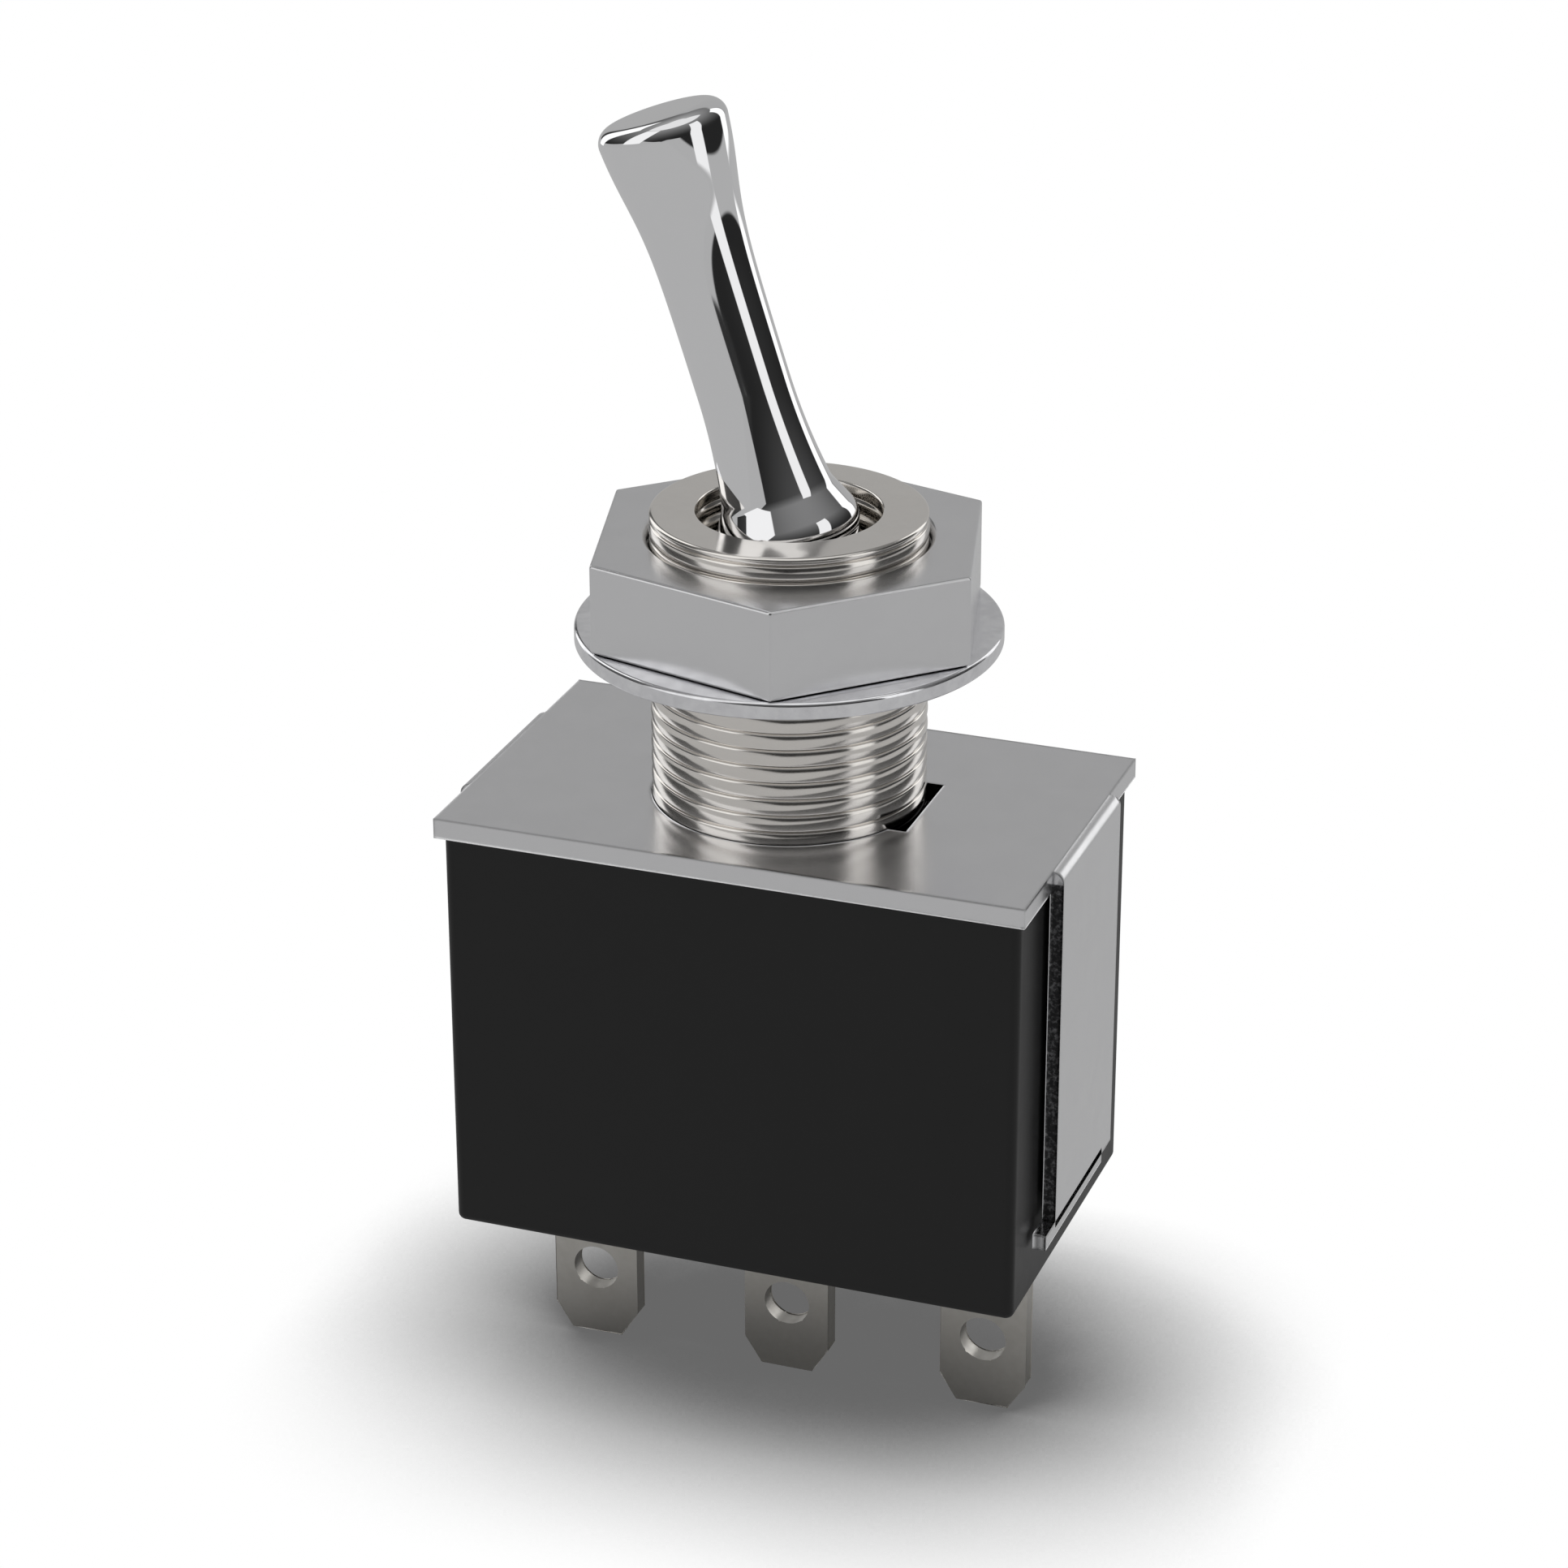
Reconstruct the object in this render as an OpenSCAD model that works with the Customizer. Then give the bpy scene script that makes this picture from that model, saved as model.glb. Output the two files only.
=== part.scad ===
// Miniature panel toggle switch, single pole with two throws.
// Millimetres. The origin is on the bushing axis, in the plane of the bracket's top,
// where a panel seats. +Z points out of the panel, X runs along the terminal row,
// and at rest the lever leans towards -X and the contacts on the +X side are closed.

/* [Bushing] */
// Outside diameter of the bushing thread
bushing_d = 6; // [5.8:0.05:6.6]
// Height of the bushing above the bracket
bushing_h = 6.52; // [6.2:0.02:8]
// Diameter of the bore at the bushing mouth
bore_d = 4; // [3.6:0.05:4.2]
// Distance from one thread to the next
thread_pitch = 0.385; // [0.3:0.005:0.75]
// Depth of the thread
thread_depth = 0.11; // [0.06:0.01:0.15]
// Diameter of the flange clamped under the bracket
flange_d = 7.2; // [6.9:0.05:7.6]
// Thickness of that flange
flange_t = 0.4; // [0.3:0.05:0.6]
// Width of the locating notch in the bracket and the flange
notch_w = 2.6; // [2:0.1:2.8]
// Distance from the bushing surface to the outer edge of the notch
notch_gap = 0.12; // [0.1:0.01:0.25]

/* [Lever] */
// Angle between the lever at rest and the bushing axis, in degrees
lever_lean = 18.2; // [12:0.2:18.4]
// Depth of the pivot axis below the bushing mouth
pivot_depth = 0.52; // [0.5:0.02:0.8]
// Diameter of the pivot ball
ball_d = 3; // [2.8:0.05:3.2]
// Diameter of the neck above the ball
neck_d = 2.02; // [1.8:0.02:2.2]
// Length from the pivot axis to the tip
lever_len = 9.35; // [8:0.05:13]
// Diameter of the flared tip
tip_d = 2.8; // [2.4:0.02:3.6]
// Radius on the edge of the tip
tip_edge = 0.38; // [0.1:0.02:0.5]
// Diameter of the arm below the ball
arm_d = 1.6; // [1.5:0.02:1.66]
// Length of that arm, from the pivot axis
arm_len = 4.7; // [3.8:0.05:4.8]
// Diameter of the pivot pin
pin_d = 0.6; // [0.6:0.02:0.8]

/* [Plunger] */
// Diameter of the plunger
plunger_d = 0.8; // [0.7:0.02:0.84]
// Length from the pivot axis to the plunger's tip
plunger_reach = 10; // [9.4:0.05:10.2]
// Distance that the plunger can move into the lever
plunger_travel = 0.35; // [0.2:0.05:0.5]
// Length of the plunger inside the lever
plunger_hold = 1.75; // [1.4:0.05:2]
// Wire diameter of the plunger spring
spring_wire = 0.13; // [0.1:0.01:0.16]
// Number of turns in the plunger spring
spring_turns = 6; // [4:1:8]

/* [Nut and washer] */
// Nut width across flats
nut_af = 8; // [7.6:0.1:9]
// Nut thickness
nut_t = 1.93; // [1.6:0.01:2.2]
// Height of the nut's lower face above the bracket
nut_rise = 4.05; // [1:0.05:4.2]
// Turn of the nut about the bushing axis, in degrees
nut_turn = -15; // [-30:1:30]
// Outside diameter of the washer
washer_d = 9.25; // [8.8:0.05:10]
// Thickness of the washer
washer_t = 0.345; // [0.25:0.005:0.5]
// Gap between washer and nut
washer_gap = 0.12; // [0.02:0.01:0.2]

/* [Bracket] */
// Distance that the plate stands out over each side of the case
plate_over = 0.16; // [0.1:0.01:0.4]
// Thickness of the bracket's plate
plate_t = 0.456; // [0.35:0.002:0.55]
// Width of each leg
leg_w = 4.25; // [3.8:0.05:4.8]
// Thickness of each leg
leg_t = 0.3; // [0.26:0.02:0.36]
// Distance that each leg stands out past the plate
leg_out = 0.24; // [0.2:0.01:0.3]
// Gap between each leg and the end of the case
leg_gap = 0.145; // [0.1:0.005:0.3]
// Depth of each leg below the plate's top
leg_len = 8.52; // [7.5:0.02:8.8]
// Height of the foot strip below the leg
foot_h = 0.2; // [0.15:0.01:0.3]
// Sideways shift of the foot strip
foot_shift = 0.7; // [0.4:0.05:0.9]

/* [Case] */
// Gap between the outer posts and the end walls
post_gap = 0.06; // [0.04:0.01:0.2]
// Thickness of the case's wall beside the flange
flange_wall = 0.31; // [0.25:0.01:0.6]
// Depth of the case's underside below the bracket's top
case_depth = 9.88; // [9.6:0.02:11]
// Thickness of the end walls
end_wall = 0.96; // [0.8:0.01:1.2]
// Thickness of the side walls
side_wall = 1.1; // [0.9:0.02:1.4]
// Thickness of the floor
floor_t = 1.98; // [1.7:0.02:2.2]
// Radius on the case's edges
case_edge = 0.2; // [0.1:0.02:0.3]
// Thickness of the insulator under the bracket
insulator_t = 1; // [0.8:0.02:1.1]
// Depth of the sealant recess in the underside
seal_recess = 0.7; // [0.5:0.02:0.9]
// Thickness of the sealant
seal_t = 0.5; // [0.3:0.02:0.7]

/* [Terminals] */
// Distance from one terminal to the next
terminal_pitch = 4.72; // [4.6:0.01:5.1]
// Width of a terminal blade
blade_w = 2.01; // [1.8:0.01:2.1]
// Thickness of a terminal blade
blade_t = 0.457; // [0.35:0.001:0.6]
// Depth of the blade tips below the bracket's top
blade_reach = 14.52; // [13:0.02:16]
// Width of the corner cut on a blade's tip
tip_cut_w = 0.4; // [0.2:0.01:0.5]
// Height of that corner cut
tip_cut_h = 0.62; // [0.3:0.01:0.8]
// Diameter of the wire eyelet
eyelet_d = 1.12; // [0.8:0.01:1.2]
// Distance from the eyelet's centre to the blade's tip
eyelet_rise = 1.68; // [1.5:0.01:1.9]

/* [Contacts] */
// Angle that the rocker tilts to each side, in degrees
rock_angle = 8; // [6:0.5:9]
// Thickness of the rocker's strip
rocker_t = 0.3; // [0.24:0.02:0.34]
// Width of the rocker's strip
rocker_w = 2.6; // [2.45:0.05:2.8]
// Diameter of the rocker's knuckle
knuckle_d = 0.7; // [0.6:0.02:0.8]
// Sheet thickness of the saddle that carries the knuckle
saddle_t = 0.25; // [0.2:0.01:0.3]
// Diameter of the moving contacts
moving_d = 1; // [0.8:0.02:1.1]
// Thickness of the moving contacts
moving_t = 0.25; // [0.2:0.01:0.35]
// Diameter of the fixed contacts
fixed_d = 1.1; // [0.9:0.02:1.2]
// Thickness of the fixed contacts
fixed_t = 0.3; // [0.2:0.01:0.4]
// Diameter of the rivet shanks on the contacts
shank_d = 0.5; // [0.4:0.02:0.6]

/* [Hidden] */
$fn = 64;

// Clearances
running_gap = 0.05;
pin_gap = 0.04;
press_gap = 0.005;
seat_gap = 0.01;
wire_gap = 0.02;
side_gap = 0.05;
thread_gap = 0.05;
tip_gap = 0.04;
contact_gap = 0.02;
sink = 0.2;
through = 1;
big = 40;

// Levels of the pivots
pivot_z = bushing_h - pivot_depth;
plate_bottom = -plate_t;
flange_bottom = plate_bottom - flange_t;
insulator_bottom = plate_bottom - insulator_t;
case_top = plate_bottom;
floor_top = -case_depth + floor_t;

// Nut and washer
washer_play = 0.08;

// Bushing
bushing_r = bushing_d / 2;
bore_r = bore_d / 2;
flange_r = flange_d / 2;
rim_edge = 0.06;
rim_steps = 4;
groove_w = 0.14;
first_groove = 0.29;
groove_count = floor((bushing_h - first_groove - 2 * rim_edge) / thread_pitch) + 1;
inner_groove_w = 0.2;
inner_groove_depth = 0.1;
inner_groove_count = 4;
inner_groove_top = bushing_h - 0.25;
notch_x = bushing_r + notch_gap;
washer_bore_r = bushing_r + washer_play;
flange_notch_x = bushing_r - 0.03;

// Sweep of the plunger through the bushing and the insulator
plunger_r = plunger_d / 2;
function sweep_r(z) = (pivot_z - z) * tan(lever_lean) + plunger_r / cos(lever_lean);
throat_r = sweep_r(flange_bottom) + running_gap;
throat_top = pivot_z - 2.4;
slot_r = plunger_r + 0.15;
slot_reach = sweep_r(insulator_bottom) + 0.15;

// Lever, measured along its own axis from the pivot
ball_r = ball_d / 2;
lever_neck_r = neck_d / 2;
neck_start = 2.8;
flare_start = 5.75;
flare_end = lever_len - tip_edge;
arm_r = arm_d / 2;
pin_r = pin_d / 2;
pin_half = bore_r + 0.4;
keyway_floor = pin_half + running_gap;
keyway_r = pin_r + pin_gap;
chamber_r = plunger_r + running_gap;
arm_edge = 0.1;
// Radius of the hollow curve from ball to neck, which touches both
hollow_r = (lever_neck_r * lever_neck_r + neck_start * neck_start - ball_r * ball_r)
    / (2 * (ball_r - lever_neck_r));
hollow_angle = atan(neck_start / (lever_neck_r + hollow_r));
flare_steps = 20;
edge_steps = 6;
ball_steps = 18;
hollow_steps = 14;

// Plunger and spring, measured along the lever's axis
plunger_top = -arm_len + plunger_hold;
closed_spring = 1.65;
chamber_top = plunger_top + plunger_travel + closed_spring;
spring_r = chamber_r - wire_gap - spring_wire / 2;
spring_top = chamber_top - spring_wire / 2 - seat_gap;
spring_bottom = plunger_top + spring_wire / 2 + seat_gap;
spring_steps = 14;
spring_sides = 6;
tip_steps = 12;

// Rocker. Its frame has the knuckle's axis as origin and is level when the lever is upright.
knuckle_r = knuckle_d / 2;
knuckle_drop = 0.1;
knuckle_z = pivot_z - plunger_reach - tip_gap - rocker_t - knuckle_drop;
tip_centre = plunger_reach - plunger_r;
tip_x = tip_centre * sin(lever_lean);
tip_z = pivot_z - tip_centre * cos(lever_lean) - knuckle_z;
tip_mid = pivot_z - tip_centre - knuckle_z;
// End of the tip's path, seen from the tilted rocker
path_x = tip_x * cos(rock_angle) - tip_z * sin(rock_angle);
path_z = tip_x * sin(rock_angle) + tip_z * cos(rock_angle);
path_rise = path_z - tip_mid;
path_r = (path_x * path_x + path_rise * path_rise) / (2 * path_rise);
trough_r = path_r + plunger_r + tip_gap;
trough_centre = tip_mid + path_r;
trough_half = asin(path_x / path_r) + 1.7;
lip_x = trough_r * sin(trough_half);
lip_z = trough_centre - trough_r * cos(trough_half);
trough_steps = 32;
// The underside's arc ends where it meets the arm's underside
under_half = trough_half - atan(rocker_t * tan((trough_half - rock_angle) / 2) / (trough_r + rocker_t));
// The lip after the rocker has tilted, when the arm beside it is level
lip_down_x = lip_x * cos(rock_angle) + lip_z * sin(rock_angle);
lip_down_z = -lip_x * sin(rock_angle) + lip_z * cos(rock_angle);
pad_along = terminal_pitch - lip_down_x;
arm_end = pad_along + moving_d / 2 + 0.05;
contact_bevel = 0.05;
rivet_head_t = 0.12;
rivet_head_r = shank_d / 2 + 0.1;

// Fixed contacts and terminals
fixed_top = knuckle_z + lip_down_z - rocker_t - moving_t - contact_gap;
shelf_top = fixed_top - fixed_t;
shelf_reach = 1.4;
contact_y = 0.7;
bend_r = 0.1;
post_w = 1.44;
common_post_w = 1.84;
shoulder_z = -case_depth + 1.28;
saddle_r = knuckle_r + 0.03;
saddle_outer = saddle_r + saddle_t;
saddle_lip = knuckle_z - 0.06;
ear_t = 0.25;
ear_top = knuckle_z + 0.4;
ear_inner = rocker_w / 2 + side_gap;
saddle_half = ear_inner + ear_t;
common_top = knuckle_z - 0.2;

// Case
case_half_l = terminal_pitch + post_w / 2 + post_gap + end_wall;
case_half_w = flange_r + side_gap + flange_wall;
case_l = 2 * case_half_l;
case_w = 2 * case_half_w;
chamber_l = case_l - 2 * end_wall;
chamber_w = case_w - 2 * side_wall;
ledge = 0.3;
rib_w = 1.6;
rib_top = knuckle_z - 0.3;
rail_w = leg_w - 0.8;
rail_top = -1.1;
rail_bottom = -leg_len + 0.6;
seal_l = 2 * terminal_pitch + blade_w + 0.5;
seal_w = 2.4;

// Bracket
leg_inner = case_half_l + leg_gap;
leg_outer = leg_inner + leg_t;
plate_half_l = leg_outer - leg_out;
plate_l = 2 * plate_half_l;
plate_w = case_w + 2 * plate_over;
foot_rise = 0.16;
plate_edge = 0.05;
fold_drop = 0.02;
fold_steps = 8;

// A ring outline cut by V grooves, as points from the lowest groove to the highest
function groove_points(r, depth, width, first, pitch, count) = [
    for (i = [0 : count - 1])
        for (corner = [[0, -width / 2], [-depth, 0], [0, width / 2]])
            [r + corner[0], first + i * pitch + corner[1]]
];

// Smooth step from 0 to 1
function smooth(t) = t <= 0 ? 0 : t >= 1 ? 1 : t * t * (3 - 2 * t);

// Points on an arc, from angle a to angle b about a centre
function arc_points(cx, cy, r, a, b, steps) = [
    for (i = [0 : steps]) let (t = a + (b - a) * i / steps) [cx + r * cos(t), cy + r * sin(t)]
];

// Faces that join the rings of a closed loft, each ring counted against the clock
function loft_faces(rings, sides) = concat(
    [[for (j = [0 : sides - 1]) j]],
    [for (i = [0 : rings - 2], j = [0 : sides - 1]) let (k = (j + 1) % sides)
        [i * sides + j, (i + 1) * sides + j, (i + 1) * sides + k, i * sides + k]],
    [[for (j = [sides - 1 : -1 : 0]) (rings - 1) * sides + j]]
);

// A rectangle with round corners, centred on the origin
module rounded_rect(l, w, r) {
    square([l - 2 * r, w], center = true);
    square([l, w - 2 * r], center = true);
    for (sx = [-1, 1], sy = [-1, 1])
        translate([sx * (l / 2 - r), sy * (w / 2 - r)]) circle(r);
}

// A rectangle from z = low to z = high whose lower corners are round
module round_bottom(l, low, high, r) {
    translate([-l / 2, low + r]) square([l, high - low - r]);
    translate([-l / 2 + r, low]) square([l - 2 * r, high - low]);
    for (s = [-1, 1])
        translate([s * (l / 2 - r), low + r]) circle(r);
}

// An upright slab whose outline is drawn in X and Z
module slab_xz(thickness) {
    rotate([90, 0, 0]) linear_extrude(thickness, center = true) children();
}

// An upright slab whose outline is drawn in Y and Z
module slab_yz(thickness) {
    rotate([90, 0, 90]) linear_extrude(thickness, center = true) children();
}

// Turned bushing: threaded outside, ringed mouth, widening throat and two keyways
module bushing() {
    color([0.66, 0.64, 0.61])
    difference() {
        rotate_extrude($fn = 96) bushing_outline();
        keyways();
        notch(flange_notch_x, flange_bottom - through, plate_bottom);
    }
}

// Half section of the bushing, from the throat round the outside to the mouth
module bushing_outline() {
    inner = groove_points(bore_r, -inner_groove_depth, inner_groove_w,
        inner_groove_top - (inner_groove_count - 1) * thread_pitch, thread_pitch, inner_groove_count);
    polygon(concat(
        [[throat_r, flange_bottom], [flange_r, flange_bottom], [flange_r, plate_bottom],
            [bushing_r, plate_bottom]],
        groove_points(bushing_r, thread_depth, groove_w, first_groove, thread_pitch, groove_count),
        arc_points(bushing_r - rim_edge, bushing_h - rim_edge, rim_edge, 0, 90, rim_steps),
        arc_points(bore_r + rim_edge, bushing_h - rim_edge, rim_edge, 90, 180, rim_steps),
        [for (i = [len(inner) - 1 : -1 : 0]) inner[i]],
        [[bore_r, throat_top]]
    ));
}

// Two grooves that guide the pivot pin in from below and stop it at the pivot axis
module keyways() {
    translate([0, 0, pivot_z]) rotate([90, 0, 0])
        cylinder(r = keyway_r, h = 2 * keyway_floor, center = true);
    translate([-keyway_r, -keyway_floor, flange_bottom - through])
        cube([2 * keyway_r, 2 * keyway_floor, pivot_z - flange_bottom + through]);
}

// The locating notch beyond x = start, between two heights
module notch(start, low, high) {
    translate([start, -notch_w / 2, low]) cube([flange_r, notch_w, high - low]);
}

// Folded steel bracket: the plate under the panel and two legs down the case
module bracket() {
    color([0.63, 0.63, 0.64])
    difference() {
        union() {
            plate();
            leg();
            rotate([0, 0, 180]) leg();
        }
        translate([0, 0, plate_bottom - through])
            cylinder(r = bushing_r + seat_gap, h = plate_t + 2 * through, $fn = 96);
        translate([0, -notch_w / 2, plate_bottom - through])
            cube([notch_x, notch_w, plate_t + 2 * through]);
    }
}

// Plate with small bevels on its upper edges
module plate() {
    intersection() {
        slab_xz(plate_w) bevelled_bar(plate_l);
        slab_yz(plate_l) bevelled_bar(plate_w);
    }
}

// Section of the plate across one of its sides
module bevelled_bar(length) {
    polygon([
        [-length / 2, plate_bottom], [length / 2, plate_bottom], [length / 2, -plate_edge],
        [length / 2 - plate_edge, 0], [-length / 2 + plate_edge, 0], [-length / 2, -plate_edge]
    ]);
}

// Right leg: a round fold past the plate, a flat leg and a foot strip shifted sideways
module leg() {
    slab_xz(leg_w) polygon(concat(
        [[plate_half_l - leg_t, plate_bottom], [plate_half_l - leg_t, -fold_drop]],
        arc_points(plate_half_l, -fold_drop - leg_out, leg_out, 90, 0, fold_steps),
        [[leg_outer, -leg_len], [leg_inner, -leg_len], [leg_inner, plate_bottom]]
    ));
    translate([(leg_inner + leg_outer) / 2, 0, 0]) slab_yz(leg_t) polygon([
        [-leg_w / 2 - foot_shift, -leg_len - foot_h], [leg_w / 2 - foot_shift, -leg_len - foot_h],
        [leg_w / 2 - foot_shift, -leg_len + foot_rise], [-leg_w / 2 - foot_shift, -leg_len + foot_rise]
    ]);
}

// Moulded case: one deep box with terminal slots, cradle ribs and a rail under each leg
module case() {
    color([0.05, 0.05, 0.055]) {
        difference() {
            union() {
                case_block();
                for (side = [-1, 1]) rail(side);
            }
            translate([0, 0, insulator_bottom]) box(chamber_l + 2 * ledge, chamber_w + 2 * ledge, big);
            translate([0, 0, flange_bottom - seat_gap]) cylinder(r = flange_r + side_gap, h = big);
            translate([0, 0, floor_top]) box(chamber_l, chamber_w, big);
            seal_space(-case_depth - through, -case_depth + seal_recess);
            blades(seat_gap);
        }
        for (side = [-1, 1]) rib(side);
    }
}

// Outer form of the case, with round upright and lower edges
module case_block() {
    intersection() {
        translate([0, 0, -case_depth]) linear_extrude(case_depth + case_top - seat_gap)
            rounded_rect(case_l, case_w, case_edge);
        slab_xz(case_w) round_bottom(case_l, -case_depth, 0, case_edge);
        slab_yz(case_l) round_bottom(case_w, -case_depth, 0, case_edge);
    }
}

// Rail on the end wall on which a leg bears
module rail(side) {
    depth = leg_inner - seat_gap - case_half_l;
    translate([side * (case_half_l + depth / 2 - sink / 2), 0, rail_bottom])
        box(depth + sink, rail_w, rail_top - rail_bottom);
}

// Rib on the side wall that keeps the pivot saddle in place
module rib(side) {
    reach = case_half_w - side_wall + sink - saddle_half - side_gap;
    translate([0, side * (saddle_half + side_gap + reach / 2), floor_top - sink])
        box(rib_w, reach, rib_top - floor_top + sink);
}

// A box standing on z = 0, centred on the Z axis
module box(l, w, h) {
    translate([-l / 2, -w / 2, 0]) cube([l, w, h]);
}

// Recess in the underside that the sealant fills
module seal_space(low, high) {
    translate([0, 0, low]) linear_extrude(high - low) rounded_rect(seal_l, seal_w, seal_w / 4);
}

// Insulator between the metal bracket and the live rocker
module insulator() {
    color([0.08, 0.08, 0.08]) {
        difference() {
            translate([0, 0, insulator_bottom + seat_gap])
                box(chamber_l + 2 * ledge - 2 * side_gap, chamber_w + 2 * ledge - 2 * side_gap,
                    insulator_t - 2 * seat_gap);
            translate([0, 0, flange_bottom - seat_gap]) cylinder(r = flange_r + side_gap, h = big);
            translate([0, 0, insulator_bottom - through]) linear_extrude(big) sweep_slot();
        }
        intersection() {
            translate([0, 0, flange_bottom - sink])
                cylinder(r = flange_r + side_gap + sink, h = flange_t + sink - seat_gap);
            translate([flange_notch_x + seat_gap, -notch_w / 2 + side_gap, insulator_bottom + seat_gap])
                cube([flange_r, notch_w - 2 * side_gap, insulator_t]);
        }
    }
}

// Long slot that the plunger sweeps through
module sweep_slot() {
    square([2 * (slot_reach - slot_r), 2 * slot_r], center = true);
    for (s = [-1, 1])
        translate([s * (slot_reach - slot_r), 0]) circle(slot_r);
}

// Sealant cast round the blades
module terminal_seal() {
    color([0.12, 0.11, 0.10])
    difference() {
        seal_space(-case_depth + seal_recess - seal_t, -case_depth + seal_recess);
        blades(0);
    }
}

// All three blades and posts as cutting tools, wider by a gap on each side
module blades(gap) {
    for (i = [-1 : 1])
        translate([i * terminal_pitch, 0, 0]) {
            translate([0, 0, -blade_reach])
                box(blade_w + 2 * gap, blade_t + 2 * gap, blade_reach + shoulder_z + gap);
            translate([0, 0, shoulder_z - through])
                box((i == 0 ? common_post_w : post_w) + 2 * gap, blade_t + 2 * gap, 2 * through);
        }
}

// Blade below the case, with cut corners and an eyelet
module blade() {
    difference() {
        slab_xz(blade_t) polygon([
            [-blade_w / 2 + tip_cut_w, -blade_reach], [blade_w / 2 - tip_cut_w, -blade_reach],
            [blade_w / 2, -blade_reach + tip_cut_h], [blade_w / 2, shoulder_z],
            [-blade_w / 2, shoulder_z], [-blade_w / 2, -blade_reach + tip_cut_h]
        ]);
        translate([0, 0, -blade_reach + eyelet_rise]) rotate([90, 0, 0])
            cylinder(d = eyelet_d, h = blade_t + 2 * through, center = true);
    }
}

// Middle terminal, whose post ends in a round seat for the pivot saddle
module common_terminal() {
    color([0.55, 0.53, 0.50]) {
        blade();
        difference() {
            translate([0, 0, shoulder_z - sink])
                box(common_post_w, blade_t, common_top - shoulder_z + sink);
            translate([0, 0, knuckle_z]) rotate([90, 0, 0])
                cylinder(r = saddle_outer + seat_gap, h = blade_t + 2 * through, center = true);
        }
    }
}

// Outer terminal, whose post folds into a shelf that carries the fixed contact
module outer_terminal() {
    fold_r = blade_t + bend_r;
    fold_y = fold_r - blade_t / 2;
    color([0.55, 0.53, 0.50]) {
        blade();
        difference() {
            slab_yz(post_w) polygon(concat(
                [[-blade_t / 2, shoulder_z - sink]],
                arc_points(fold_y, shelf_top - fold_r, fold_r, 180, 90, fold_steps),
                [[shelf_reach, shelf_top], [shelf_reach, shelf_top - blade_t]],
                arc_points(fold_y, shelf_top - fold_r, bend_r, 90, 180, fold_steps),
                [[blade_t / 2, shoulder_z - sink]]
            ));
            translate([0, contact_y, shelf_top - blade_t - through])
                cylinder(d = shank_d, h = blade_t + 2 * through);
        }
    }
}

module left_terminal() {
    translate([-terminal_pitch, 0, 0]) outer_terminal();
}

module right_terminal() {
    translate([terminal_pitch, 0, 0]) outer_terminal();
}

// Riveted contact: a button above z = 0, a shank through a sheet and a closed head below it
module riveted_contact(d, t, sheet) {
    color([0.75, 0.74, 0.71])
    rotate_extrude() polygon([
        [0, -sheet - rivet_head_t], [rivet_head_r - 0.05, -sheet - rivet_head_t],
        [rivet_head_r, -sheet - rivet_head_t / 2], [rivet_head_r, -sheet],
        [shank_d / 2 - press_gap, -sheet], [shank_d / 2 - press_gap, 0],
        [d / 2, 0], [d / 2, t - contact_bevel], [d / 2 - contact_bevel, t], [0, t]
    ]);
}

module left_fixed_contact() {
    translate([-terminal_pitch, contact_y, shelf_top]) riveted_contact(fixed_d, fixed_t, blade_t);
}

module right_fixed_contact() {
    translate([terminal_pitch, contact_y, shelf_top]) riveted_contact(fixed_d, fixed_t, blade_t);
}

// Saddle on the common terminal: a half-round seat between two ears
module pivot_saddle() {
    color([0.72, 0.60, 0.36])
    translate([0, 0, knuckle_z]) {
        slab_xz(2 * ear_inner) difference() {
            saddle_section(saddle_lip - knuckle_z);
            circle(saddle_r);
        }
        for (side = [-1, 1])
            translate([0, side * (ear_inner + ear_t / 2), 0])
                slab_xz(ear_t) saddle_section(ear_top - knuckle_z);
    }
}

// Round-bottomed section of the saddle up to a height above the knuckle's axis
module saddle_section(top) {
    intersection() {
        union() {
            circle(saddle_outer);
            translate([-saddle_outer, 0]) square([2 * saddle_outer, big]);
        }
        translate([-big / 2, -big + top]) square(big);
    }
}

// Moves children from the rocker's own frame to its place at rest
module rocker_at_rest() {
    translate([0, 0, knuckle_z]) rotate([0, rock_angle, 0]) children();
}

// Moves children to the top of the rocker's arm on one side, at the contact's centre
module on_arm(side) {
    rocker_at_rest()
        translate([side * lip_x, 0, lip_z]) rotate([0, -side * rock_angle, 0])
            translate([side * pad_along, contact_y, 0]) children();
}

// Moving contact blade: a trough that the plunger slides in, two arms and a knuckle
module rocker() {
    color([0.72, 0.60, 0.36])
    difference() {
        rocker_at_rest() slab_xz(rocker_w) {
            polygon(rocker_strip());
            circle(knuckle_r);
        }
        for (side = [-1, 1])
            on_arm(side) cylinder(d = shank_d, h = 2 * through, center = true);
    }
}

// Outline of the bent strip: its round underside, an arm's end, the trough and the other end
function rocker_strip() = concat(
    arc_points(0, trough_centre, trough_r + rocker_t, -90 - under_half, -90 + under_half, trough_steps),
    [arm_point(1, arm_end, rocker_t), arm_point(1, arm_end, 0)],
    arc_points(0, trough_centre, trough_r, -90 + trough_half, -90 - trough_half, trough_steps),
    [arm_point(-1, arm_end, 0), arm_point(-1, arm_end, rocker_t)]
);

// Point on one side's arm, at a distance from the lip and a depth below the arm's upper face
function arm_point(side, along, down) = [
    side * (lip_x + along * cos(rock_angle) + down * sin(rock_angle)),
    lip_z + along * sin(rock_angle) - down * cos(rock_angle)
];

module left_moving_contact() {
    on_arm(-1) translate([0, 0, -rocker_t]) mirror([0, 0, 1])
        riveted_contact(moving_d, moving_t, rocker_t);
}

module right_moving_contact() {
    on_arm(1) translate([0, 0, -rocker_t]) mirror([0, 0, 1])
        riveted_contact(moving_d, moving_t, rocker_t);
}

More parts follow.
